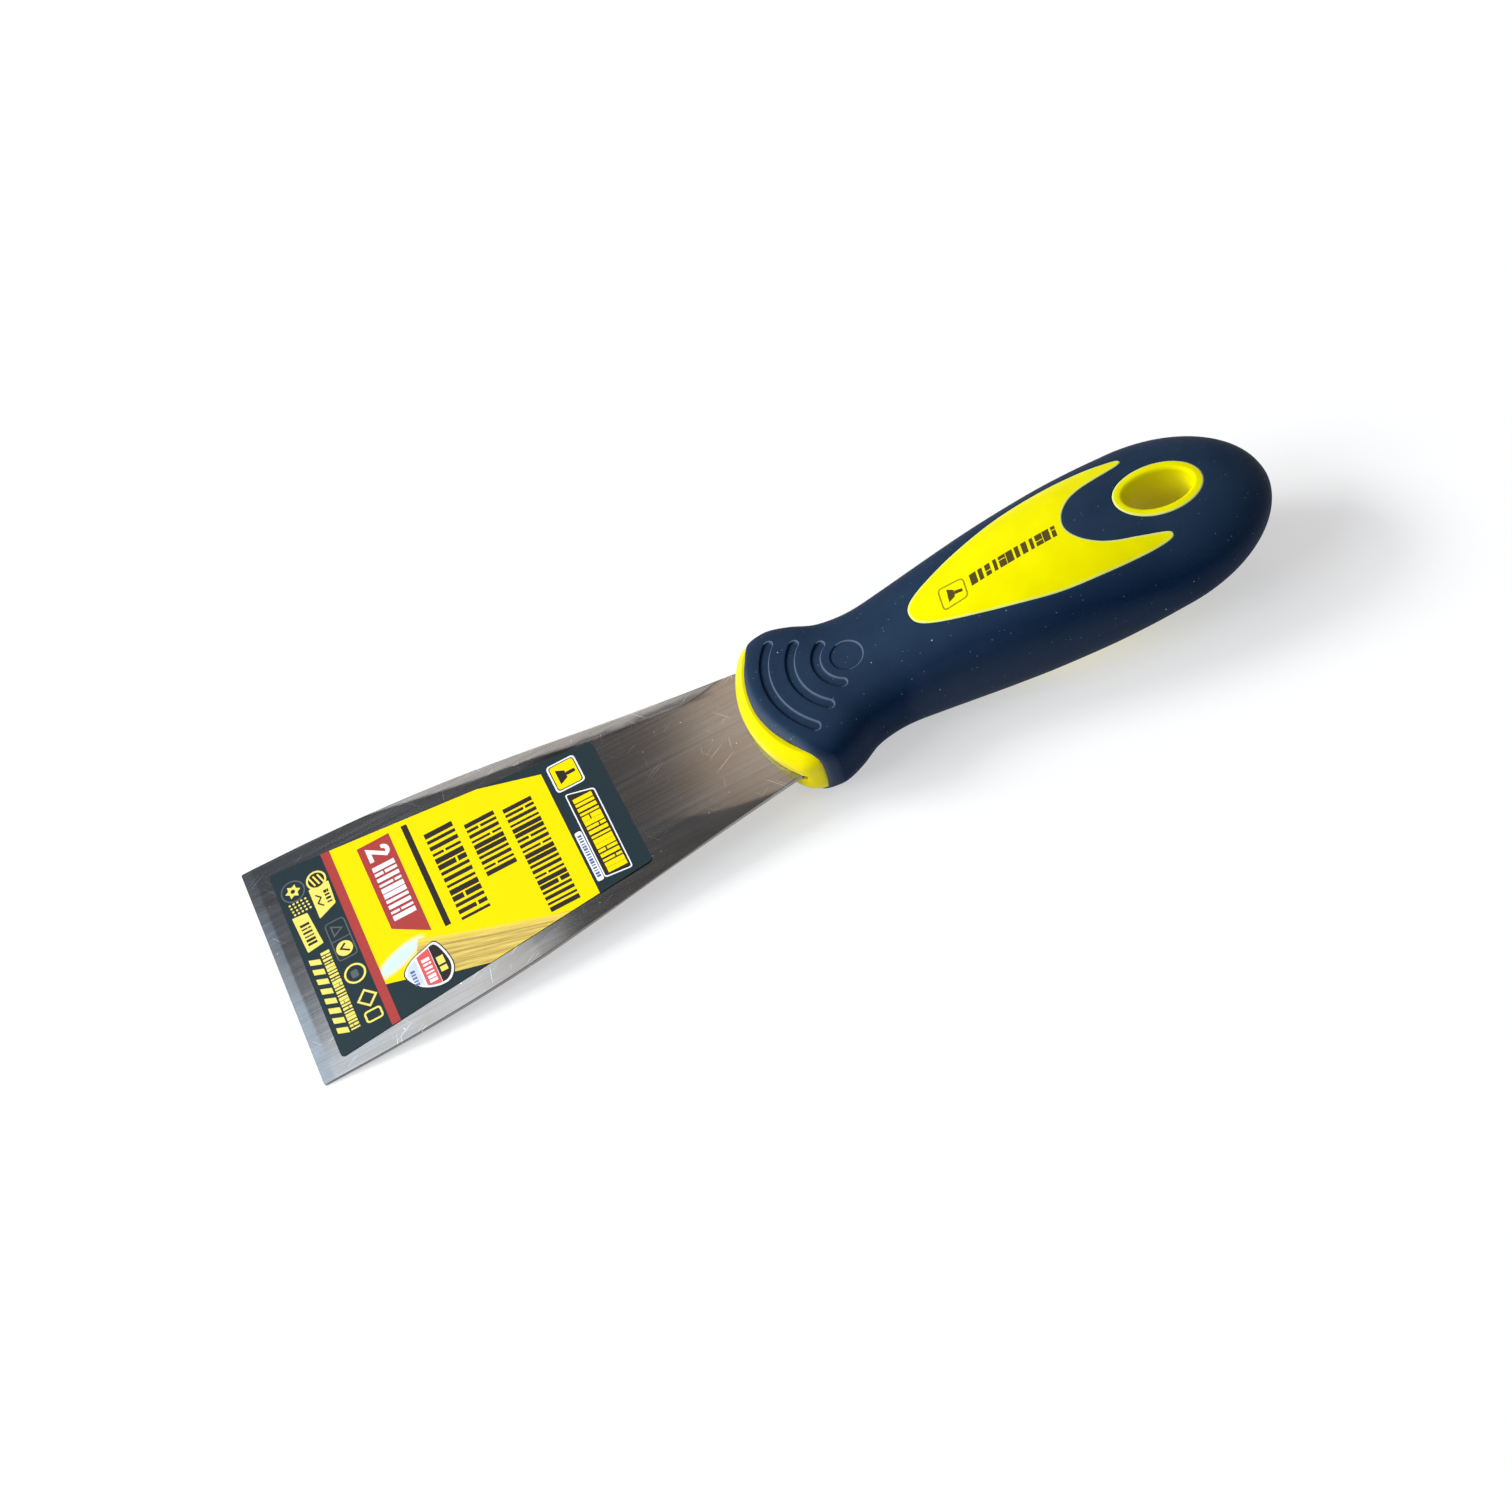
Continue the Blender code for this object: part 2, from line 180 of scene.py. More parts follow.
# Studio, in metres
CAMERA_PLACE = (-0.0358, -0.2628, 0.3973)
CAMERA_TARGET = (-0.0072, -0.0049, 0.013)
CAMERA_ROLL = math.radians(-22.2)
CAMERA_LENS = 58.8
FLOOR_HALF_SIZE = 3.0
FLOOR_GLOW = 0.48
SURROUNDINGS = (("From Min", 0.25), ("From Max", -0.35), ("To Min", 0.16), ("To Max", 0.45))


# ---- curves -----------------------------------------------------------------------------

def curve(points, x):
    """Heights at x of a smooth curve through (x, height) points, flat beyond its ends."""
    px, py = np.array(points, float).T
    slope = np.gradient(py, px)
    slope[1:-1] = (py[2:] - py[:-2]) / (px[2:] - px[:-2])
    x = np.clip(np.asarray(x, float), px[0], px[-1])
    i = np.clip(np.searchsorted(px, x, side="right") - 1, 0, len(px) - 2)
    run = px[i + 1] - px[i]
    t = (x - px[i]) / run
    return ((2 * t**3 - 3 * t**2 + 1) * py[i] + (t**3 - 2 * t**2 + t) * run * slope[i]
            + (3 * t**2 - 2 * t**3) * py[i + 1] + (t**3 - t**2) * run * slope[i + 1])


def smooth_loop(points, steps):
    """A closed loop that passes through the points, with steps pieces between each two."""
    p = np.array(points, float)
    t = (np.arange(steps) / steps)[:, None]
    loop = []
    for i in range(len(p)):
        a, b, c, d = (p[(i + k) % len(p)] for k in (-1, 0, 1, 2))
        loop.append(0.5 * (2 * b + (c - a) * t + (2 * a - 5 * b + 4 * c - d) * t**2
                           + (3 * b - a - 3 * c + d) * t**3))
    return np.concatenate(loop)


def inlay_loop():
    """The forked inlay's outline in plan."""
    lower = [(x, -y) for x, y in INLAY_SIDE]
    return smooth_loop([INLAY_NOSE, *lower, INLAY_BAY, *reversed(INLAY_SIDE)], 8)


def ring_loop(half_length, half_width, count):
    """An oval about the hanging hole's middle."""
    a = np.arange(count) * 2 * math.pi / count
    return np.stack([RING_X + half_length * np.cos(a), half_width * np.sin(a)], 1)


def loop_distance(loop, x, y):
    """Distance to a closed loop, negative inside it."""
    best = np.full(x.shape, 1e9)
    inside = np.zeros(x.shape, bool)
    for (ax, ay), (bx, by) in zip(loop, np.roll(loop, -1, axis=0)):
        ex, ey = bx - ax, by - ay
        t = np.clip(((x - ax) * ex + (y - ay) * ey) / (ex * ex + ey * ey), 0, 1)
        best = np.minimum(best, (x - ax - t * ex)**2 + (y - ay - t * ey)**2)
        if by != ay:
            inside ^= ((ay > y) != (by > y)) & (x < ax + (y - ay) * ex / ey)
    return np.where(inside, -1, 1) * np.sqrt(best)


def arc(cx, cy, radius, start, end, pieces):
    """Points of an arc whose start and end are in degrees."""
    turns = np.radians(np.linspace(start, end, pieces + 1))
    return [(cx + radius * math.cos(a), cy + radius * math.sin(a)) for a in turns]


def smooth_step(low, high, value):
    t = np.clip((value - low) / (high - low), 0, 1)
    return t * t * (3 - 2 * t)


# ---- faces ------------------------------------------------------------------------------

def grid_faces(rows, columns, closed, looped=False):
    """Faces between rows of points: closed joins each row's ends, looped the last and first."""
    faces = []
    for i in range(rows if looped else rows - 1):
        a, b = i * columns, (i + 1) % rows * columns
        for j in range(columns if closed else columns - 1):
            k = (j + 1) % columns
            faces.append([a + j, b + j, b + k, a + k])
    return faces


def shell_faces(faces, count):
    """A closed shell: a sheet's faces, those of its copy count points on, and the walls."""
    edges = dict.fromkeys((a, b) for face in faces for a, b in zip(face, face[1:] + face[:1]))
    copies = [[i + count for i in reversed(face)] for face in faces]
    walls = [[b, a, a + count, b + count] for a, b in edges if (b, a) not in edges]
    return faces + copies + walls


# ---- the handle's skin ------------------------------------------------------------------

def skin_point(u, t, inset=0.0):
    """The handle's surface: u runs along the tool and round its rear end, t round a section."""
    turn = np.maximum(u - ROUND_END_START, 0) / ROUND_END
    x = np.minimum(u, ROUND_END_START) + (ROUND_END - inset) * np.sin(turn)
    scale = np.cos(turn)
    n = curve(SQUARENESS, x)
    c, s = np.cos(t), np.sin(t)
    k = (np.abs(c)**n + np.abs(s)**n)**(-1 / n)
    y = scale * (curve(HALF_WIDTH, x) - inset) * k * c
    z = scale * (curve(HALF_HEIGHT, x) - inset) * k * s
    return x, y, z


def skin_normal(u, t):
    """The skin's outward direction, from small steps either way."""
    step = 1e-4
    along = [(b - a) for a, b in zip(skin_point(u - step, t), skin_point(u + step, t))]
    around = [(b - a) for a, b in zip(skin_point(u, t - step), skin_point(u, t + step))]
    normal = np.cross(np.stack(around, 1), np.stack(along, 1))
    length = np.linalg.norm(normal, axis=1, keepdims=True)
    return normal / np.maximum(length, 1e-12)


def skin_height(x, y):
    """Height of the handle's upper surface over a point of its plan."""
    turn = np.sqrt(np.clip(1 - (np.maximum(x - ROUND_END_START, 0) / ROUND_END)**2, 0, 1))
    n = curve(SQUARENESS, x)
    share = np.clip(np.abs(y) / (turn * curve(HALF_WIDTH, x)), 0, 1)
    return turn * curve(HALF_HEIGHT, x) * (1 - share**n)**(1 / n)


class Skin:
    """A patch of the handle's skin that can be cut along lines of equal value."""

    def __init__(self, u_values, t_values, closed):
        rows, columns = len(u_values), len(t_values)
        self.u = np.repeat(u_values, columns)
        self.t = np.tile(t_values, rows)
        self.faces = grid_faces(rows, columns, closed)

    def between(self, a, b, share):
        """Points of the skin between two vertices, going the short way round."""
        ta, tb = self.t[a], self.t[b]
        tb = tb - 2 * math.pi * np.round((tb - ta) / (2 * math.pi))
        return self.u[a] + share * (self.u[b] - self.u[a]), ta + share * (tb - ta)

    def cut(self, field, level, keep=None):
        """Cuts the faces along field = level, and with keep=1 or -1 drops the other side."""
        value = field(self.u, self.t) - level
        side = np.where(np.abs(value) < 1e-5, 0, np.sign(value)).astype(int)
        marks = side.tolist()
        crossed = {}
        for face in self.faces:
            signs = [marks[i] for i in face]
            if min(signs) < 0 < max(signs):
                for a, b in zip(face, face[1:] + face[:1]):
                    if marks[a] * marks[b] < 0:
                        crossed[(a, b) if a < b else (b, a)] = None
        if crossed:
            a, b = np.array(list(crossed)).T
            low, high = np.zeros(len(a)), np.ones(len(a))
            start = np.sign(value[a])
            for _ in range(18):
                middle = (low + high) / 2
                same = np.sign(field(*self.between(a, b, middle)) - level) == start
                low = np.where(same, middle, low)
                high = np.where(same, high, middle)
            u, t = self.between(a, b, (low + high) / 2)
            for k, edge in enumerate(crossed):
                crossed[edge] = len(self.u) + k
            self.u = np.concatenate([self.u, u])
            self.t = np.concatenate([self.t, t])
        faces = []
        for face in self.faces:
            signs = [marks[i] for i in face]
            if not min(signs) < 0 < max(signs):
                faces.append((face, max(signs) if max(signs) > 0 else -1))
                continue
            parts = {1: [], -1: []}
            for a, b in zip(face, face[1:] + face[:1]):
                for s in (1, -1):
                    if marks[a] * s >= 0:
                        parts[s].append(a)
                if marks[a] * marks[b] < 0:
                    k = crossed[(a, b) if a < b else (b, a)]
                    parts[1].append(k)
                    parts[-1].append(k)
            faces += [(part, s) for s, part in parts.items() if len(part) > 2]
        self.faces = [face for face, s in faces if keep is None or s == keep]


def link(name, data):
    item = bpy.data.objects.new(name, data)
    bpy.context.scene.collection.objects.link(item)
    return item


def add_mesh(name, points, faces, materials, face_materials=None, smooth=True):
    """A piece from points in the tool's frame."""
    mesh = bpy.data.meshes.new(name)
    points = np.asarray(points, float) * MM + np.array(ORIGIN)
    mesh.from_pydata(points.tolist(), [], faces)
    for material in materials:
        mesh.materials.append(material)
    if face_materials is not None:
        mesh.polygons.foreach_set("material_index", face_materials)
    mesh.polygons.foreach_set("use_smooth", [smooth] * len(mesh.polygons))
    mesh.validate()
    return link(name, mesh)


def tidy_mesh(piece, sharp_angle, weld=False):
    """Points every face outward and marks the edges sharper than an angle."""
    bm = bmesh.new()
    bm.from_mesh(piece.data)
    if weld:
        bmesh.ops.remove_doubles(bm, verts=bm.verts, dist=1e-7)
    bmesh.ops.recalc_face_normals(bm, faces=bm.faces)
    bm.to_mesh(piece.data)
    bm.free()
    piece.data.set_sharp_from_angle(angle=math.radians(sharp_angle))
    return piece


def join_frame(piece, node):
    """Makes a piece ride with the tool in place of a CAD node."""
    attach(piece, "root")
    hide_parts(node)
    return piece


def add_skin_piece(name, skin, surface, inset, materials, edge_field=None):
    """A closed piece: the shaped skin, an inner copy, and walls along its open edges.

    Faces within a thin line of edge_field = 0 take the second material, a painted highlight along
    the edge.
    """
    used = sorted({i for face in skin.faces for i in face})
    index = {old: new for new, old in enumerate(used)}
    u, t = skin.u[used], skin.t[used]
    faces = [[index[i] for i in face] for face in skin.faces]
    outer = surface(u, t)
    inner = np.stack(skin_point(u, t, inset), 1)
    shell = shell_faces(faces, len(used))
    slots = None
    if edge_field is not None:
        near = np.abs(edge_field(u, t)) < EDGE_HIGHLIGHT_LINE
        slots = [int(all(near[i] for i in face)) for face in faces]
        slots += [0] * (len(shell) - len(faces))
    piece = add_mesh(name, np.concatenate([outer, inner]), shell, materials, slots)
    return tidy_mesh(piece, 50, weld=True)


def skin_stations(start, spacing=0.6):
    """Evenly spaced sections, along the tool and then round its rear end."""
    straight = np.arange(start, ROUND_END_START, spacing)
    turns = np.linspace(0, math.pi / 2, round(ROUND_END * math.pi / 2 / spacing))
    return np.concatenate([straight, ROUND_END_START + ROUND_END * turns])


# ---- fields over the skin ---------------------------------------------------------------

def plan(function):
    """Turns a function of a point's plan into one of its place on the skin."""
    def field(u, t):
        x, y, z = skin_point(u, t)
        return function(x, y)
    return field


def loop_field(loop):
    """Distance to a loop drawn on the plan, negative inside it, up to a few millimetres."""
    low, high = loop.min(axis=0) - FIELD_REACH, loop.max(axis=0) + FIELD_REACH

    @plan
    def field(x, y):
        near = (x > low[0]) & (x < high[0]) & (y > low[1]) & (y < high[1])
        value = np.full(x.shape, FIELD_REACH)
        value[near] = loop_distance(loop, x[near], y[near])
        return np.minimum(value, FIELD_REACH)
    return field


@plan
def front_field(x, y):
    """How far a point is behind the grip's front edge, an arc that reaches forward at its ends."""
    ahead = FRONT_CENTRE_X - x - EAR_REACH * smooth_step(EAR_START, EAR_END, np.abs(y))
    return GRIP_FRONT_RADIUS - np.where(ahead > 0, np.hypot(ahead, y), 0)


def groove_field(inner_radius, half_angle):
    """How far a point is inside an arc-shaped slot about the dot."""
    middle = inner_radius + GROOVE_WIDTH / 2
    limit = math.radians(half_angle)
    end_x, end_y = DOT_X - middle * math.cos(limit), middle * math.sin(limit)

    @plan
    def field(x, y):
        radius = np.hypot(x - DOT_X, y)
        angle = np.abs(np.arctan2(y, DOT_X - x))
        end = np.hypot(x - end_x, np.abs(y) - end_y)
        return GROOVE_WIDTH / 2 - np.where(angle <= limit, np.abs(radius - middle), end)
    return field


@plan
def dot_field(x, y):
    """How far a point is inside the dot."""
    return DOT_RADIUS - np.hypot(x - DOT_X, y)


GROOVE_FIELDS = [groove_field(radius, angle) for radius, angle in GROOVES]
inlay_field = loop_field(inlay_loop())
ring_field = loop_field(ring_loop(RING_HALF_LENGTH, RING_HALF_WIDTH, 96))


def lip(distance, radius, drop):
    """A rounded edge: how far the surface has dropped at a distance from the edge."""
    share = np.clip((radius - distance) / radius, 0, 1)
    return drop * (1 - np.sqrt(1 - share**2))


def sunk(u, t, depth):
    """Points of the skin moved inward by a depth."""
    return np.stack(skin_point(u, t), 1) - skin_normal(u, t) * depth[:, None]


def grip_surface(u, t):
    """The rubber's outside, with its grooves, dot, window edges and rolled front edge."""
    depth = np.zeros(u.shape)
    for field in GROOVE_FIELDS:
        depth += GROOVE_DEPTH * smooth_step(GROOVE_LEVELS[0], GROOVE_LEVELS[-1], field(u, t))
    depth += DOT_DEPTH * smooth_step(GROOVE_LEVELS[0], GROOVE_LEVELS[-1], dot_field(u, t))
    depth += lip(inlay_field(u, t), *WINDOW_LIP)
    depth += lip(ring_field(u, t), *WINDOW_LIP)
    points = sunk(u, t, depth)
    front = lip(front_field(u, t), FRONT_LIP, 1.0)
    points[:, 1] *= 1 - FRONT_NARROWING * front
    over = np.abs(points[:, 2]) - FRONT_HEIGHT
    over = (over + np.hypot(over, FRONT_SOFTNESS)) / 2
    points[:, 2] -= np.sign(points[:, 2]) * front * over
    return points


# ---- materials --------------------------------------------------------------------------

class Nodes:
    """Short names for building a material's nodes."""

    def __init__(self, name):
        self.material = bpy.data.materials.new(name)
        self.material.use_nodes = True
        self.tree = self.material.node_tree
        self.shader = self.tree.nodes["Principled BSDF"]
        place = self.tree.nodes.new("ShaderNodeTexCoord")
        self.coordinates, self.normal = place.outputs["Object"], place.outputs["Normal"]

    def node(self, kind, inputs=(), **settings):
        """A shader node with its inputs, which are values or other nodes' outputs."""
        made = self.tree.nodes.new("ShaderNode" + kind)
        for key, value in settings.items():
            setattr(made, key, value)
        for key, value in dict(inputs).items():
            self.give(made.inputs[key], value)
        return made

    def give(self, socket, value):
        if isinstance(value, bpy.types.NodeSocket):
            self.tree.links.new(value, socket)
        elif socket.type == "RGBA" and len(value) == 3:
            socket.default_value = (*value, 1.0)
        else:
            socket.default_value = value

    def scaled(self, scale=1.0, shift=(0.0, 0.0, 0.0)):
        """The position in millimetres, multiplied by one scale or by one for each axis."""
        made = self.node("Mapping", {"Vector": self.coordinates})
        made.inputs["Scale"].default_value = [1000 * s for s in np.broadcast_to(scale, 3)]
        made.inputs["Location"].default_value = shift
        return made.outputs["Vector"]

    def noise(self, scale, detail=2.0, roughness=0.5, shift=(0.0, 0.0, 0.0)):
        made = self.node("TexNoise", {"Vector": self.scaled(scale, shift), "Scale": 1.0,
                                      "Detail": detail, "Roughness": roughness})
        return made.outputs["Fac"]

    def ramp(self, value, stops):
        made = self.node("ValToRGB", {"Fac": value})
        elements = made.color_ramp.elements
        while len(elements) > 1:
            elements.remove(elements[-1])
        for k, (position, colour) in enumerate(stops):
            element = elements[0] if k == 0 else elements.new(position)
            element.position = position
            element.color = (*colour, 1.0) if isinstance(colour, tuple) else (colour,) * 3 + (1,)
        return made.outputs["Color"]

    def mix(self, share, a, b, blend="MIX"):
        made = self.node("Mix", data_type="RGBA", blend_type=blend)
        self.give(made.inputs[0], share)
        self.give(made.inputs[6], (*a, 1.0) if isinstance(a, tuple) else a)
        self.give(made.inputs[7], (*b, 1.0) if isinstance(b, tuple) else b)
        return made.outputs[2]

    def math(self, operation, a, b=0.0, c=0.0):
        made = self.node("Math", operation=operation)
        for socket, value in zip(made.inputs, (a, b, c)):
            self.give(socket, value)
        return made.outputs[0]

    def specks(self, scale, radius, share):
        """A mask of round specks in cells of 1/scale mm, left out of a share of the cells."""
        cells = self.node("TexVoronoi", {"Vector": self.scaled(scale), "Scale": 1.0})
        near = self.math("LESS_THAN", cells.outputs["Distance"], radius)
        chance = self.node("SeparateColor", {"Color": cells.outputs["Color"]})
        chosen = self.math("GREATER_THAN", chance.outputs["Red"], share)
        return self.math("MULTIPLY", near, chosen)

    def plane_axes(self, origin, turn):
        """Millimetres along and across a line through a point of the blade's face."""
        made = []
        for x, y in ((math.cos(turn), math.sin(turn)), (-math.sin(turn), math.cos(turn))):
            dot = self.node("VectorMath", operation="DOT_PRODUCT")
            self.give(dot.inputs[0], self.scaled())
            dot.inputs[1].default_value = (x, y, 0.0)
            start = (origin[0] + EDGE_X / MM) * x + origin[1] * y
            made.append(self.math("SUBTRACT", dot.outputs["Value"], start))
        return made

    def turned(self, turn, scale):
        """A flat position in a turned frame, scaled along and across it."""
        along, across = self.plane_axes((0.0, 0.0), turn)
        made = self.node("CombineXYZ", {
            "X": self.math("MULTIPLY", along, scale[0]),
            "Y": self.math("MULTIPLY", across, scale[1])})
        return made.outputs["Vector"]

    def bump(self, height, distance, strength):
        made = self.node("Bump", {"Height": height, "Distance": distance, "Strength": strength})
        return made.outputs["Normal"]

    def finish(self, **inputs):
        for key, value in inputs.items():
            self.give(self.shader.inputs[key.replace("_", " ")], value)
        return self.material


def painted_rim_highlight(n):
    """A painted highlight: a thin line along each groove's inner side and ends, and half round the
    dot, where the walls face the light.
    """
    place = n.node("SeparateXYZ", {"Vector": n.scaled()})
    ahead = n.math("SUBTRACT", DOT_X + EDGE_X / MM, place.outputs["X"])
    side = n.math("ABSOLUTE", place.outputs["Y"])

    def distance(x, y):
        dx, dy = n.math("SUBTRACT", ahead, x), n.math("SUBTRACT", side, y)
        return n.math("SQRT", n.math("ADD", n.math("MULTIPLY", dx, dx),
                                     n.math("MULTIPLY", dy, dy)))

    def line(far, radius):
        off = n.math("ABSOLUTE", n.math("SUBTRACT", far, radius))
        return n.math("SUBTRACT", 1.0, n.math("SMOOTH_MIN", n.math("DIVIDE", off, RIM_HIGHLIGHT_WIDTH),
                                              1.0, 0.3))

    centre = distance(0.0, 0.0)
    angle = n.math("ARCTAN2", side, ahead)
    mask = n.math("MULTIPLY", line(centre, DOT_RADIUS), n.math("GREATER_THAN", angle, 1.3))
    for inner, half_angle in GROOVES:
        limit, middle = math.radians(half_angle), inner + GROOVE_WIDTH / 2
        end = distance(middle * math.cos(limit), middle * math.sin(limit))
        body = n.math("MULTIPLY", line(centre, inner), n.math("LESS_THAN", angle, limit))
        cap = n.math("MULTIPLY", line(end, GROOVE_WIDTH / 2),
                     n.math("GREATER_THAN", angle, limit))
        mask = n.math("MAXIMUM", mask, n.math("MAXIMUM", body, cap))
    return n.math("MULTIPLY", mask, 0.8)


def rubber_material():
    """Dark rubber with pale specks, painted light on its flat faces and painted highlights on its
    groove walls and front.
    """
    n = Nodes("black_rubber")
    grain = n.noise(3.2, 3.0, 0.6)
    cloud = n.noise(0.12, 3.0, 0.5)
    face = n.node("SeparateXYZ", {"Vector": n.normal})
    # Painted light: faces that point up or down take a lighter colour, and the flanks stay dark as
    # painted shade.
    face_light_share = n.ramp(n.math("ABSOLUTE", face.outputs["Z"]), ((0.45, 0.0), (0.8, 0.55), (1.0, 1.0)))
    broad = n.mix(n.ramp(cloud, ((0.3, 0.0), (0.7, 1.0))), (0.013, 0.026, 0.053),
                  (0.018, 0.034, 0.066))
    base = n.mix(face_light_share, (0.0002, 0.0075, 0.031), broad)
    base = n.mix(n.ramp(grain, ((0.45, 0.0), (0.8, 0.4))), base, (0.009, 0.032, 0.07))
    base = n.mix(n.specks(1.1, 0.12, 0.8), base, (0.10, 0.13, 0.17))
    base = n.mix(n.specks(0.35, 0.05, 0.72), base, (0.34, 0.36, 0.38))
    # Painted highlight along the groove walls that face the light.
    base = n.mix(painted_rim_highlight(n), base, (0.15, 0.19, 0.26))
    # Painted highlight: faces turned toward the front and the light take a paler colour.
    forward = n.math("MULTIPLY_ADD", face.outputs["Y"], -0.3,
                     n.math("MULTIPLY", face.outputs["X"], -0.85))
    base = n.mix(n.ramp(forward, ((0.3, 0.0), (0.75, 0.6))), base, (0.085, 0.105, 0.14))
    rough = n.math("MULTIPLY_ADD", grain, 0.2, 0.5)
    return n.finish(Base_Color=base, Roughness=rough, Specular_IOR_Level=0.08,
                    Specular_Tint=(0.3, 0.65, 1.0), Normal=n.bump(grain, 0.0001, 0.9))


def yellow_material(name, light, dark):
    """Smooth moulded plastic between two close shades, with a few dark specks."""
    n = Nodes(name)
    cloud = n.noise(0.15, 2.0)
    grain = n.noise(2.5, 2.0)
    base = n.mix(n.ramp(cloud, ((0.3, 0.0), (0.7, 1.0))), dark, light)
    base = n.mix(n.specks(0.3, 0.03, 0.85), base, (0.05, 0.04, 0.01))
    rough = n.math("MULTIPLY_ADD", grain, 0.12, 0.32)
    return n.finish(Base_Color=base, Roughness=rough, Specular_IOR_Level=0.18,
                    Specular_Tint=(1.0, 0.9, 0.04), Normal=n.bump(grain, 0.00003, 0.4))


def steel_material():
    """Brushed steel with a dark streak, a painted cool reflection toward the working edge, a few
    scratches and dust.
    """
    n = Nodes("brushed_steel")
    brush = n.noise((0.03, 2.6, 2.6), 2.0, 0.5)
    coarse = n.noise((0.02, 1.4, 1.4), 3.0, 0.6, (5.0, 0.0, 0.0))
    cloud = n.noise((0.05, 0.10, 0.10), 3.0, 0.6)
    base = n.mix(n.ramp(coarse, ((0.3, 0.0), (0.7, 1.0))), (0.27, 0.265, 0.26),
                 (0.36, 0.355, 0.35))
    base = n.mix(n.ramp(brush, ((0.35, 0.0), (0.7, 0.35))), base, (0.20, 0.195, 0.19))
    base = n.mix(n.ramp(cloud, ((0.35, 0.0), (0.65, 0.6))), base, (0.25, 0.222, 0.198))
    # Painted reflection: the steel is tinted cooler toward the working edge.
    place = n.node("SeparateXYZ", {"Vector": n.scaled()})
    cool_reflection_share = n.math("MULTIPLY_ADD", place.outputs["X"], -1 / COOL_REFLECTION_LENGTH,
                       1 + EDGE_X / MM / COOL_REFLECTION_LENGTH)
    base = n.mix(cool_reflection_share, base, (0.94, 0.99, 1.07), "MULTIPLY")
    # A dark wandering streak running from near the guard toward the working edge.
    along, across = n.plane_axes(STREAK_START, STREAK_TURN)
    wander = n.math("MULTIPLY_ADD", n.noise((0.12, 0.3, 0.3), 3.0), 3.2, -1.6)
    off = n.math("ABSOLUTE", n.math("DIVIDE", n.math("ADD", across, wander), 1.1))
    reach = n.math("ABSOLUTE", n.math("MULTIPLY_ADD", along, 2 / STREAK_LENGTH, -1.0))
    far = n.math("MAXIMUM", off, n.math("POWER", reach, 4.0))
    base = n.mix(n.ramp(far, ((0.1, 0.75), (1.0, 0.0))), base, (0.07, 0.072, 0.078))
    for turn, threshold in ((0.5, 0.80), (-0.9, 0.81), (1.35, 0.82)):
        across = n.turned(turn, (0.12, 5.0))
        line = n.node("TexNoise", {"Vector": across, "Scale": 1.0, "Detail": 0.0})
        mask = n.ramp(line.outputs["Fac"], ((threshold, 0.0), (threshold + 0.03, 0.8)))
        base = n.mix(mask, base, (0.62, 0.61, 0.6))
    base = n.mix(n.specks(0.55, 0.07, 0.75), base, (0.75, 0.75, 0.75))
    base = n.mix(n.specks(0.4, 0.05, 0.85), base, (0.03, 0.03, 0.03))
    rough = n.math("MULTIPLY_ADD", coarse, 0.06, 0.10)
    return n.finish(Base_Color=base, Metallic=1.0, Roughness=rough,
                    Normal=n.bump(coarse, 0.000004, 0.3))


def film_material(name, colour, variation=0.94, tint=(1.0, 1.0, 1.0)):
    """A printed ink."""
    n = Nodes(name)
    cloud = n.noise(1.5, 3.0)
    darker = tuple(c * variation for c in colour)
    base = n.mix(n.ramp(cloud, ((0.35, 0.0), (0.65, 1.0))), colour, darker)
    rough = n.math("MULTIPLY_ADD", n.noise(0.8, 2.0), 0.08, 0.3)
    return n.finish(Base_Color=base, Roughness=rough, Specular_IOR_Level=0.3,
                    Specular_Tint=tint)


def dark_film_material():
    """The label's dark ground, with a faint pattern of fine dots."""
    n = Nodes("label_dark")
    dots = n.node("TexVoronoi", {"Vector": n.scaled((2.2, 2.2, 0.0)), "Scale": 1.0,
                                 "Randomness": 0.15})
    mask = n.ramp(dots.outputs["Distance"], ((0.2, 0.55), (0.36, 0.0)))
    base = n.mix(mask, (0.006, 0.02, 0.028), (0.016, 0.036, 0.045))
    rough = n.math("MULTIPLY_ADD", n.noise(0.8, 2.0), 0.08, 0.3)
    return n.finish(Base_Color=base, Roughness=rough, Specular_IOR_Level=0.3)


def panel_material():
    """The label's yellow panel in two close shades that vary in soft patches, with a pale streak
    of light.
    """
    n = Nodes("ink_yellow")
    cloud = n.noise(0.9, 3.0)
    base = n.mix(cloud, (0.97, 0.72, 0.0), (0.93, 0.69, 0.0))
    along, across = n.plane_axes(SHEEN_START, SHEEN_TURN)
    length = n.math("ABSOLUTE", n.math("DIVIDE", along, 6.6))
    width = n.math("ABSOLUTE", n.math("DIVIDE", across, 2.1))
    away = n.math("ADD", n.math("POWER", length, 2.2), n.math("POWER", width, 1.6))
    base = n.mix(n.ramp(away, ((0.0, 1.0), (0.35, 0.9), (1.0, 0.0))), base, (0.62, 0.78, 0.86))
    return n.finish(Base_Color=base, Roughness=0.32, Specular_IOR_Level=0.22,
                    Specular_Tint=YELLOW_GLOSS)


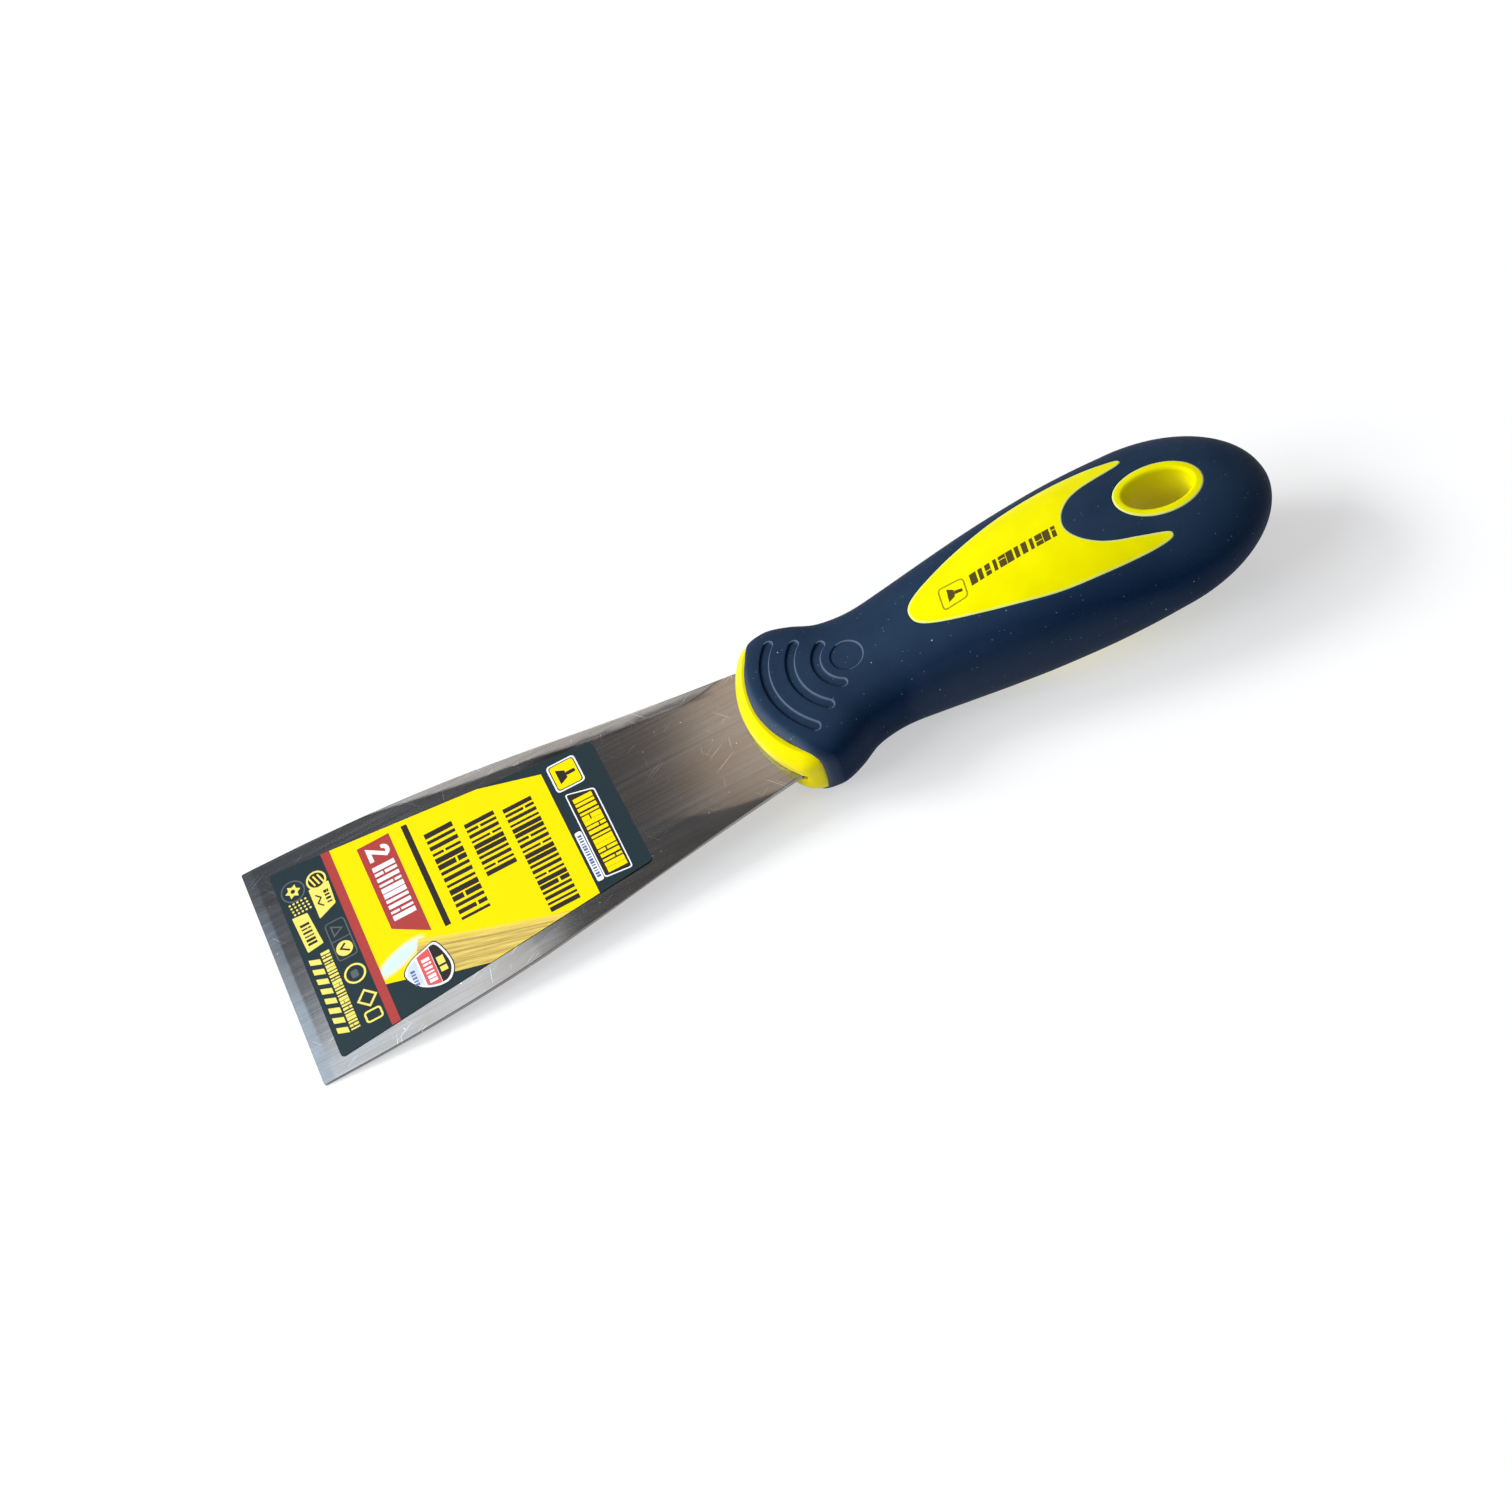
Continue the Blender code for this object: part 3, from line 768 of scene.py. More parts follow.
def wood_material():
    """Printed planks: long grain with darker lines between the boards."""
    n = Nodes("ink_planks")
    along, across = n.plane_axes(PLANK_START, PLANK_TURN)
    fan = n.math("DIVIDE", across, n.math("MULTIPLY_ADD", along, -0.012, 1.0))
    place = n.node("CombineXYZ", {"X": n.math("MULTIPLY", along, 0.06), "Y": fan})
    grain = n.node("TexNoise", {"Vector": place.outputs["Vector"], "Scale": 1.5,
                                "Detail": 4.0, "Roughness": 0.65})
    base = n.ramp(grain.outputs["Fac"], ((0.3, (0.40, 0.26, 0.06)), (0.5, (0.64, 0.46, 0.11)),
                                         (0.7, (0.82, 0.64, 0.18))))
    first = n.ramp(n.math("MULTIPLY", fan, -0.5), ((0.0, 0.8), (1.0, 0.0)))
    base = n.mix(first, base, (0.93, 0.72, 0.05))
    board = n.math("FRACT", n.math("DIVIDE", fan, PLANK_WIDTH))
    base = n.mix(n.ramp(board, ((0.0, 0.55), (0.08, 0.0), (0.93, 0.0), (1.0, 0.55))), base,
                 (0.16, 0.08, 0.015))
    return n.finish(Base_Color=base, Roughness=0.34, Specular_IOR_Level=0.25)


# ---- blade ------------------------------------------------------------------------------

def blade_half_thickness(x):
    """Half the blade's thickness: a bevel, then a long taper, then even."""
    taper = np.interp(x, (0.0, BEVEL_LENGTH, TAPER_LENGTH),
                      (EDGE_THICKNESS, TAPER_END_THICKNESS, BLADE_THICKNESS))
    return taper / 2


def blade_top(x, y):
    """Height of the blade's upper face, with its ground margins."""
    upper = np.maximum(y - curve(UPPER_LAND, x), 0)
    lower = np.maximum(-y - curve(LOWER_LAND, x), 0)
    margin = UPPER_SLOPE * upper + LOWER_SLOPE * lower
    edge = curve(BLADE_OUTLINE, x) - np.abs(y)
    height = np.maximum(blade_half_thickness(x) - margin, LEAST_HALF_THICKNESS)
    return height - lip(edge, *SIDE_LIP)


def make_blade(material):
    """The blade as one closed sheet, its columns following the outline."""
    stations = np.concatenate([[0.0, 0.05, 0.15], np.linspace(0.3, BEVEL_LENGTH, 6),
                               np.linspace(BEVEL_LENGTH, TAPER_LENGTH, 60)[1:],
                               np.linspace(TAPER_LENGTH, BLADE_END, 90)[1:]])
    shares = np.concatenate([[-1, -0.998, -0.995, -0.99], np.linspace(-0.98, 0.98, 121),
                             [0.99, 0.995, 0.998, 1]])
    x, share = (a.ravel() for a in np.meshgrid(stations, shares, indexing="ij"))
    y = share * (curve(BLADE_OUTLINE, x) - lip(x, *CORNER_LIP))
    top = np.stack([x, y, blade_top(x, y)], 1)
    faces = shell_faces(grid_faces(len(stations), len(shares), False), len(top))
    piece = add_mesh("steel_blade", [*top, *(top * (1, 1, -1))], faces, [material])
    join_frame(tidy_mesh(piece, 3), "blade")


# ---- handle pieces ----------------------------------------------------------------------

def make_grip(material):
    """The rubber, cut along its front edge, windows and grooves."""
    columns = 168
    skin = Skin(skin_stations(GRIP_START), np.arange(columns) * 2 * math.pi / columns, True)
    for field, levels in ((front_field, FRONT_LEVELS), (inlay_field, WINDOW_LEVELS),
                          (ring_field, WINDOW_LEVELS)):
        skin.cut(field, 0.0, keep=1)
        for level in levels:
            skin.cut(field, level)
    for field in [*GROOVE_FIELDS, dot_field]:
        for level in GROOVE_LEVELS:
            skin.cut(field, level)
    piece = add_skin_piece("rubber_grip", skin, grip_surface, GRIP_WALL, [material])
    join_frame(piece, "grip")


def inlay_surface(u, t):
    """The inlay's outside, with its rounded edge."""
    return sunk(u, t, lip(-inlay_field(u, t), *INLAY_LIP) - INLAY_PROUD)


def make_inlay(name, side, materials):
    """One face's yellow inlay, standing slightly proud of the rubber."""
    stations = np.arange(PATCH_START, PATCH_END, 0.5)
    turns = side * math.pi / 2 + np.linspace(-PATCH_TURN, PATCH_TURN, 90)
    skin = Skin(stations, turns, False)
    skin.cut(inlay_field, 0.0, keep=-1)
    for level in INLAY_LEVELS:
        skin.cut(inlay_field, level)
    piece = add_skin_piece(name, skin, inlay_surface, INLAY_WALL, materials, inlay_field)
    join_frame(piece, "handle_core")


def make_sleeve(materials):
    """The hanging hole's sleeve: a rounded rim on both faces and the wall between them."""
    count = 128
    grow = RING_HALF_LENGTH - HOLE_HALF_LENGTH
    profile = [(grow, 1.6), (grow, 0.2), (grow - 0.04, 0.1), (grow - 0.12, 0.02),
               (grow - 0.25, -0.04), (grow - 0.4, -0.06)]
    profile += [(0.85 - 0.85 * math.sin(a), -0.06 + 0.95 * (1 - math.cos(a)))
                for a in np.linspace(0, math.pi / 2, 9)]
    profile += [(0.0, 2.5)]
    upper = []
    for offset, drop in profile:
        half_width = HOLE_HALF_WIDTH + offset / grow * (RING_HALF_WIDTH - HOLE_HALF_WIDTH)
        x, y = ring_loop(HOLE_HALF_LENGTH + offset, half_width, count).T
        upper.append(np.stack([x, y, skin_height(x, y) - drop], 1))
    lower = [ring * (1, 1, -1) for ring in reversed(upper)]
    rings = upper + lower
    faces = grid_faces(len(rings), count, True, looped=True)
    # The outer rings of each rim take the second material, a painted highlight along the rounded
    # edge.
    last = len(rings) - 1 - SLEEVE_HIGHLIGHT_RINGS
    slots = [int(i < SLEEVE_HIGHLIGHT_RINGS or i >= last) for i in range(len(rings))]
    slots = np.repeat(slots, count)
    piece = add_mesh("hole_sleeve", np.concatenate(rings), faces, materials, slots)
    join_frame(tidy_mesh(piece, 60), "handle_core")


def guard_outline(radius, half_width, corner):
    """The guard's plan: a front arc, rounded corners and a rear arc under the grip's edge."""
    corner_y = half_width - corner
    corner_x = FRONT_CENTRE_X - math.sqrt((radius - corner)**2 - corner_y**2)
    turn = math.degrees(math.atan2(corner_y, FRONT_CENTRE_X - corner_x))
    points = arc(corner_x, corner_y, corner, 90.0, 180.0 - turn, 14)
    points += arc(FRONT_CENTRE_X, 0.0, radius, 180.0 - turn, 180.0 + turn, 60)[1:-1]
    points += arc(corner_x, -corner_y, corner, 180.0 + turn, 270.0, 14)
    back = math.degrees(math.asin((half_width - GUARD_TUCK) / GUARD_REAR_RADIUS))
    return points + arc(FRONT_CENTRE_X, 0.0, GUARD_REAR_RADIUS, 180.0 + back, 180.0 - back, 40)


def cut_slot(piece):
    """Cuts the blade's slot, which shows as a notch past each edge of the blade."""
    corners = [(x, y, z) for x in (SLOT_START, SLOT_END)
               for y in (-SLOT_HALF_WIDTH, SLOT_HALF_WIDTH)
               for z in (-SLOT_HALF_HEIGHT, SLOT_HALF_HEIGHT)]
    sides = [(0, 1, 3, 2), (4, 6, 7, 5), (0, 4, 5, 1), (2, 3, 7, 6), (0, 2, 6, 4), (1, 5, 7, 3)]
    cutter = add_mesh("slot_cutter", corners, sides, [], smooth=False)
    modifier = piece.modifiers.new("slot", "BOOLEAN")
    modifier.operation = "DIFFERENCE"
    modifier.solver = "EXACT"
    modifier.object = cutter
    shaped = piece.evaluated_get(bpy.context.evaluated_depsgraph_get())
    plain = piece.data
    piece.data = bpy.data.meshes.new_from_object(shaped)
    piece.data.name = "guard"
    piece.modifiers.clear()
    bpy.data.meshes.remove(plain)
    bpy.data.objects.remove(cutter)
    tidy_mesh(piece, 40)


def make_guard(material):
    """The guard, as a stack of outlines, the lower half mirrored."""
    heights = np.concatenate([np.linspace(0.0, 5.2, 14), [5.6, 5.9, 6.0]])
    radii = curve(GUARD_PROFILE, heights)
    levels = [(-h, r) for h, r in zip(heights[:0:-1], radii[:0:-1])]
    levels += list(zip(heights, radii))
    rings = []
    for height, radius in levels:
        half_width = GUARD_HALF_WIDTH * (1 - abs(height / GUARD_HALF_HEIGHT)**6)**(1 / 6)
        outline = guard_outline(radius, half_width, GUARD_CORNER_RADIUS)
        rings.append([(x, y, height) for x, y in outline])
    count = len(rings[0])
    faces = [list(range(count)), [len(rings) * count - 1 - i for i in range(count)]]
    faces += grid_faces(len(rings), count, True)
    piece = add_mesh("guard", [p for ring in rings for p in ring], faces, [material])
    tidy_mesh(piece, 40)
    cut_slot(piece)
    join_frame(piece, "handle_core")


# ---- label ------------------------------------------------------------------------------

def label_edge(x):
    """Half the label's width at a distance from the working edge."""
    share = (x - LABEL_FRONT[0]) / (LABEL_REAR[0] - LABEL_FRONT[0])
    return LABEL_FRONT[1] + share * (LABEL_REAR[1] - LABEL_FRONT[1])


def round_corners(points, radius, pieces=5):
    """A polygon's loop with each corner replaced by a small curve."""
    loop = []
    count = len(points)
    for i, point in enumerate(points):
        p = np.array(point, float)
        before, after = np.array(points[i - 1], float), np.array(points[(i + 1) % count], float)
        a = p + (before - p) / np.linalg.norm(before - p) * radius
        b = p + (after - p) / np.linalg.norm(after - p) * radius
        for k in range(pieces + 1):
            t = k / pieces
            loop.append(tuple((1 - t)**2 * a + 2 * t * (1 - t) * p + t**2 * b))
    return loop


class Print:
    """Flat printed shapes in one mesh, laid over a surface given by its height."""

    def __init__(self, height):
        self.bm = bmesh.new()
        self.height = height
        self.inks = []

    def slot(self, ink):
        if ink not in self.inks:
            self.inks.append(ink)
        return self.inks.index(ink)

    def wall(self, low, high, ink, closed=True):
        made = []
        for i in range(len(low) if closed else len(low) - 1):
            j = (i + 1) % len(low)
            made.append(self.bm.faces.new([low[i], low[j], high[j], high[i]]))
        for face in made:
            face.material_index = self.slot(ink)

    def area(self, loop, ink, layer, thickness=0.05):
        """A filled shape."""
        top = LAYER * layer
        low = [self.bm.verts.new((x, y, top - thickness)) for x, y in loop]
        high = [self.bm.verts.new((x, y, top)) for x, y in loop]
        for side in (low, high):
            self.bm.faces.new(side).material_index = self.slot(ink)
        self.wall(low, high, ink)

    def line(self, path, width, ink, layer, closed=False, thickness=0.05):
        """A line of even width along a path."""
        p = np.array(path, float)
        if closed:
            before, after = p - np.roll(p, 1, axis=0), np.roll(p, -1, axis=0) - p
        else:
            step = np.diff(p, axis=0)
            before, after = np.vstack([step[:1], step]), np.vstack([step, step[-1:]])
        before = before / np.linalg.norm(before, axis=1, keepdims=True)
        after = after / np.linalg.norm(after, axis=1, keepdims=True)
        way = before + after
        way /= np.linalg.norm(way, axis=1, keepdims=True)
        across = np.stack([-way[:, 1], way[:, 0]], 1) * width / 2
        across /= np.maximum((way * after).sum(axis=1, keepdims=True), 0.4)
        top = LAYER * layer
        rows = []
        for side in (1, -1):
            for z in (top, top - thickness):
                rows.append([self.bm.verts.new((x, y, z)) for x, y in p + side * across])
        left, left_low, right, right_low = rows
        for a, b in ((left, right), (left_low, right_low), (left, left_low),
                     (right, right_low)):
            self.wall(a, b, ink, closed)
        if not closed:
            for end in (0, -1):
                face = self.bm.faces.new([left[end], right[end], right_low[end], left_low[end]])
                face.material_index = self.slot(ink)

    def bars(self, corner, right, up, count, ink, layer, fill=0.6):
        """A row of upright bars, some broken, filling the box corner, right, up."""
        corner, right, up = (np.array(v, float) for v in (corner, right, up))
        for k in range(count):
            share = fill * BAR_WIDTHS[k % len(BAR_WIDTHS)]
            start = corner + right * (k + 0.5 - share / 2) / count
            wide = right * share / count
            levels = [0.0, *BAR_BREAKS[(k * 5 + count) % len(BAR_BREAKS)], 1.0]
            for a, b in zip(levels[:-1], levels[1:]):
                low = start + up * (a + (BAR_GAP if a > 0 else 0))
                high = start + up * (b - (BAR_GAP if b < 1 else 0))
                self.area([low, low + wide, high + wide, high], ink, layer)

    def finish(self, name, materials, cuts):
        """Cuts the shapes along straight lines, lays them on the surface and adds the mesh."""
        bm = self.bm
        for point, normal in cuts:
            geometry = bm.verts[:] + bm.edges[:] + bm.faces[:]
            bmesh.ops.bisect_plane(bm, geom=geometry, plane_co=point, plane_no=normal)
        bmesh.ops.recalc_face_normals(bm, faces=bm.faces)
        for vert in bm.verts:
            x, y = vert.co.x, vert.co.y
            vert.co.z += float(self.height(np.array([x]), np.array([y]))[0])
            vert.co = vert.co * MM + Vector(ORIGIN)
        mesh = bpy.data.meshes.new(name)
        bm.to_mesh(mesh)
        bm.free()
        for ink in self.inks:
            mesh.materials.append(materials[ink])
        return link(name, mesh)


def label_height(x, y):
    return blade_half_thickness(x) + LABEL_TOP


def box(x0, y0, x1, y1, radius=0.0):
    corners = [(x0, y0), (x1, y0), (x1, y1), (x0, y1)]
    return round_corners(corners, radius, 4) if radius else corners


def circle(x, y, radius, pieces=28):
    return arc(x, y, radius, 0.0, 360.0 - 360.0 / pieces, pieces - 1)


def print_panel(p):
    """The yellow panel with its planks, stripe and rule."""
    p.area([(17.3, label_edge(17.3)), (47.7, label_edge(47.7)), (60.0, 13.7),
            (59.9, -label_edge(59.9)), (36.5, -label_edge(36.5)), (29.3, -16.7), (20.7, -13.3),
            (17.3, -12.3)], "yellow", 1)
    p.area([(26.0, -6.8), (39.0, -11.8), (52.1, -16.3), (54.5, -label_edge(54.5) + 0.1),
            (36.5, -label_edge(36.5) + 0.1), (29.3, -16.6), (24.7, -15.2), (24.0, -11.0)],
           "planks", 2)
    p.area([(15.5, label_edge(15.5)), (17.3, label_edge(17.3)), (17.3, -label_edge(17.3)),
            (15.5, -label_edge(15.5))], "red", 3)
    p.area([(31.6, 18.0), (32.8, 17.9), (32.8, -7.1), (31.6, -7.1)], "black", 2)
    for x0, x1, start, end, count in ((50.4, 56.4, 10.6, -15.3, 20), (42.6, 48.8, 11.6, -1.7, 10),
                                      (34.9, 40.8, 13.9, -8.1, 14)):
        p.bars((x0, start), (0, end - start), (x1 - x0, 0), count, "black", 2, 0.62)


def print_flag(p):
    """The red flag with the blade's width, two inches, as a numeral and a rule."""
    p.area([(22.2, 17.9), (29.0, 18.0), (29.0, -6.4), (22.3, -2.0)], "red", 2)
    bowl = [(26.7 + 0.95 * math.sin(a), 14.95 + 1.05 * math.cos(a))
            for a in np.linspace(-0.1, 2.7, 10)]
    numeral = [*bowl, (24.0, 16.2), (24.0, 13.5)]
    p.line(numeral, 0.85, "white", 3)
    p.bars((23.4, 12.4), (0, -13.3), (4.6, 0), 10, "white", 3, 0.66)


def print_badge(p):
    """A plain badge: a pale outline round a dark, a red and a pale field."""
    outline = smooth_loop([(28.9, -9.0), (30.4, -14.6), (28.9, -17.9), (25.9, -18.1),
                           (22.8, -16.4), (20.9, -12.8), (22.9, -10.4), (26.2, -9.2)], 5)
    middle = outline.mean(axis=0)
    p.area(outline, "black", 3)
    p.area(middle + (outline - middle) * 0.955, "white", 4)
    field = middle + (outline - middle) * 0.86
    for low, high, ink in ((20.0, 23.9, "blue"), (24.3, 27.0, "coral"), (27.1, 31.0, "black")):
        part = clipped(clipped(field, 0, low, 1), 0, high, -1)
        p.area(part, ink, 5)
    p.bars((24.9, -11.2), (0, -5.6), (1.6, 0), 6, "white", 6)
    p.bars((22.2, -12.4), (0, -3.6), (0.9, 0), 5, "slate", 6)
    p.bars((27.6, -12.2), (0, -3.8), (1.4, 0), 2, "cream", 6, 0.75)


def clipped(loop, axis, level, side):
    """The part of a convex loop on one side of a level."""
    made = []
    for a, b in zip(loop, np.roll(loop, -1, axis=0)):
        da, db = side * (a[axis] - level), side * (b[axis] - level)
        if da >= 0:
            made.append(a)
        if da * db < 0:
            made.append(a + (b - a) * da / (da - db))
    return np.array(made)


def print_heading(p):
    """The top corner: a tool pictogram in a rounded square and an outlined plate of bars."""
    p.area(box(61.2, 7.8, 67.2, 14.5, 0.9), "white", 2)
    p.area(box(61.55, 8.15, 66.85, 14.15, 0.7), "black", 3)
    p.area(box(61.75, 8.35, 66.65, 13.95, 0.6), "yellow", 4)
    p.area([(62.6, 9.4), (62.6, 12.9), (64.3, 12.0), (64.3, 10.3)], "black", 5)
    p.area(box(64.3, 10.75, 66.2, 11.55, 0.3), "black", 5)
    plate = [(62.2, 6.9), (67.9, 5.4), (67.6, -14.5), (62.0, -13.9)]
    p.area(round_corners(plate, 0.7), "white", 2)
    middle = np.mean(plate, axis=0)
    p.area(round_corners([middle + (np.array(c) - middle) * (0.91, 0.972) for c in plate], 0.5),
           "black", 3)
    p.bars((63.1, 5.0), (0, -18.3), (3.9, 0), 16, "yellow", 4, 0.74)
    p.area(box(60.5, -14.0, 61.9, -2.0, 0.5), "white", 3)
    p.bars((60.8, -2.8), (0, -10.4), (0.8, 0), 16, "slate", 4)


def print_footer(p):
    """The dark strip beside the working edge: small plain signs and slanted blocks."""
    p.line(circle(8.0, 16.1, 2.3), 0.28, "grey", 1, True)
    star = [(8.0 + r * math.cos(a), 16.1 + r * math.sin(a)) for r, a in
            zip([1.6, 0.95] * 6, np.arange(12) * math.pi / 6)]
    p.area(star, "cream", 1)
    p.area(circle(8.0, 16.1, 0.45), "black", 2)
    p.line(circle(12.9, 16.0, 1.85), 0.4, "cream", 3, True)
    p.area(circle(12.9, 16.0, 1.7), "black", 2)
    for x in (12.0, 12.9, 13.8):
        p.line([(x - 0.35, 17.1), (x + 0.35, 14.9)], 0.36, "cream", 3)
    p.area(round_corners([(10.8, 14.7), (15.0, 14.7), (14.7, 9.3), (10.8, 7.6)], 0.3), "cream", 1)
    p.bars((13.3, 13.2), (0, -3.4), (1.0, 0), 4, "black", 2)
    p.line([(11.6, 12.9), (12.5, 11.9), (11.6, 10.9), (12.5, 9.9)], 0.3, "black", 2)
    for i in range(5):
        for j in range(4):
            p.area(circle(6.4 + 0.82 * i + 0.1 * j, 13.4 - 0.8 * j, 0.24, 8), "cream", 1)
    p.area(round_corners([(5.9, 10.5), (9.0, 10.2), (9.7, 2.4), (6.3, 1.9)], 0.25), "cream", 1)
    p.bars((6.7, 8.4), (0.2, -5.4), (1.9, 0), 6, "black", 2, 0.5)
    p.line(box(11.0, -3.1, 14.9, 5.7, 0.8), 0.25, "grey", 1, True)
    p.line([(11.1, 1.4), (14.8, 1.4)], 0.25, "grey", 1)
    p.line([(12.0, 2.5), (13.9, 3.6), (12.0, 4.7)], 0.3, "grey", 1, True)
    p.area(circle(12.9, -0.9, 1.65), "cream", 1)
    p.line([(13.3, 0.1), (12.2, -0.7), (13.7, -1.8)], 0.38, "black", 2)
    p.line(circle(12.9, -7.0, 1.95), 0.42, "cream", 1, True)
    p.area(box(12.1, -7.9, 13.5, -6.2, 0.4), "grey", 1)
    p.line([(11.4, -13.0), (13.2, -11.2), (15.0, -13.0), (13.2, -14.8)], 0.42, "cream", 1, True)
    p.line(box(11.6, -18.0, 14.7, -15.8, 0.6), 0.4, "cream", 1, True)
    p.bars((8.3, 0.6), (0, -18.6), (1.8, 0), 24, "cream", 1, 0.68)
    for k in range(8):
        y = 0.3 - 2.3 * k
        p.area([(5.8, y), (5.8, y - 1.25), (7.9, y - 2.1), (7.9, y - 0.85)], "cream", 1)


def make_label():
    """The film and, in layers on it, its print."""
    film = Print(label_height)
    corners = [LABEL_FRONT, LABEL_REAR, (LABEL_REAR[0], -LABEL_REAR[1]),
               (LABEL_FRONT[0], -LABEL_FRONT[1])]
    film.area(round_corners(corners, LABEL_CORNER_RADIUS), "film", 0, 0.2)
    bend = [((TAPER_LENGTH, 0, 0), (1, 0, 0))]
    made = [film.finish("label_film", {"film": dark_film_material()}, bend)]
    ink = Print(label_height)
    for draw in (print_panel, print_flag, print_badge, print_heading, print_footer):
        draw(ink)
    inks = {
        "yellow": panel_material(), "planks": wood_material(),
        "red": film_material("ink_red", (0.42, 0.042, 0.038)),
        "coral": film_material("ink_coral", (0.75, 0.10, 0.10)),
        "black": film_material("ink_black", (0.018, 0.013, 0.010)),
        "white": film_material("ink_white", (0.86, 0.88, 0.92)),
        "cream": film_material("ink_cream", (0.90, 0.77, 0.16), 0.9, YELLOW_GLOSS),
        "grey": film_material("ink_grey", (0.10, 0.11, 0.12)),
        "blue": film_material("ink_pale_blue", (0.62, 0.70, 0.84)),
        "slate": film_material("ink_slate", (0.12, 0.13, 0.32)),
    }
    made.append(ink.finish("label_print", inks, bend))
    for piece in made:
        join_frame(piece, "label")


def inlay_height(x, y):
    return skin_height(x, y) + INLAY_PROUD


def make_inlay_print():
    """A small tool pictogram in a rounded outline and a row of slanted blocks."""
    p = Print(inlay_height)
    square = round_corners([(141.5, 1.7), (146.6, 1.2), (145.7, -2.9), (140.5, -3.0)], 0.9)
    p.line(square, 0.3, "olive", 1, True)
    p.area([(142.1, -2.0), (142.9, 0.8), (144.0, -0.1), (143.6, -1.5)], "brown", 1)
    p.area([(143.7, -1.05), (144.0, -0.35), (145.5, -0.75), (145.3, -1.4)], "brown", 1)
    p.bars((147.2, -1.5), (18.9, 0.55), (0.55, 2.45), 12, "brown", 1, 0.72)
    cuts = [((0, y, 0), (0, 1, 0)) for y in np.arange(-3.0, 2.5, 0.5)]
    cuts += [((x, 0, 0), (1, 0, 0)) for x in np.arange(141.0, 168.0, 1.5)]
    piece = p.finish("inlay_print", {"olive": film_material("print_olive", (0.30, 0.25, 0.0)),
                                     "brown": film_material("print_brown", (0.07, 0.045, 0.0))},
                     cuts)
    join_frame(piece, "handle_core")


# ---- studio -----------------------------------------------------------------------------

def aim(item, position, target, roll=0.0):
    """Places a camera or light so that it looks at the target."""
    forward = (Vector(target) - Vector(position)).normalized()
    turn = forward.to_track_quat("-Z", "Y")
    item.location = position
    item.rotation_mode = "QUATERNION"
    item.rotation_quaternion = turn @ Matrix.Rotation(roll, 3, "Z").to_quaternion()


def make_camera():
    camera = bpy.data.cameras.new("camera")
    camera.sensor_width = 36.0
    camera.lens = CAMERA_LENS
    camera.clip_start = 0.01
    item = link("camera", camera)
    aim(item, CAMERA_PLACE, CAMERA_TARGET, CAMERA_ROLL)
    bpy.context.scene.camera = item


def make_floor():
    """A pale sheet that touches the blade's working edge and the handle's belly."""
    material = Nodes("paper_floor")
    grain = material.noise(0.5, 2.0)
    tone = material.mix(grain, (0.480, 0.470, 0.466), (0.495, 0.485, 0.481))
    material.finish(Base_Color=tone, Roughness=0.9, Specular_IOR_Level=0.0,
                    Emission_Color=(1.0, 1.0, 1.0), Emission_Strength=FLOOR_GLOW)
    mesh = bpy.data.meshes.new("floor")
    tip = MIDDLE_Z / MM - EDGE_THICKNESS / 2
    x = np.linspace(HALF_WIDTH[0][0], ROUND_END_START, 200)
    under = MIDDLE_Z / MM - skin_height(x, np.zeros(x.shape))
    slope = float(((under - tip) / x).min())
    size = FLOOR_HALF_SIZE
    corners = [(x, y, tip * MM + (x - EDGE_X) * slope) for x, y in box(-size, -size, size, size)]
    mesh.from_pydata(corners, [], [(0, 1, 2, 3)])
    mesh.materials.append(material.material)
    link("floor", mesh)


def add_card(name, position, size, power, colour):
    """A rectangular light aimed at the tool."""
    light = bpy.data.lights.new(name, "AREA")
    light.shape = "RECTANGLE"
    light.size, light.size_y = size
    light.energy = power
    light.color = colour
    aim(link(name, light), position, (0.0, 0.0, 0.0))


def add_sun(name, toward, strength, spread, colour):
    """Light from one direction, softened over a spread in degrees."""
    light = bpy.data.lights.new(name, "SUN")
    light.energy = strength
    light.angle = math.radians(spread)
    light.color = colour
    aim(link(name, light), toward, (0.0, 0.0, 0.0))


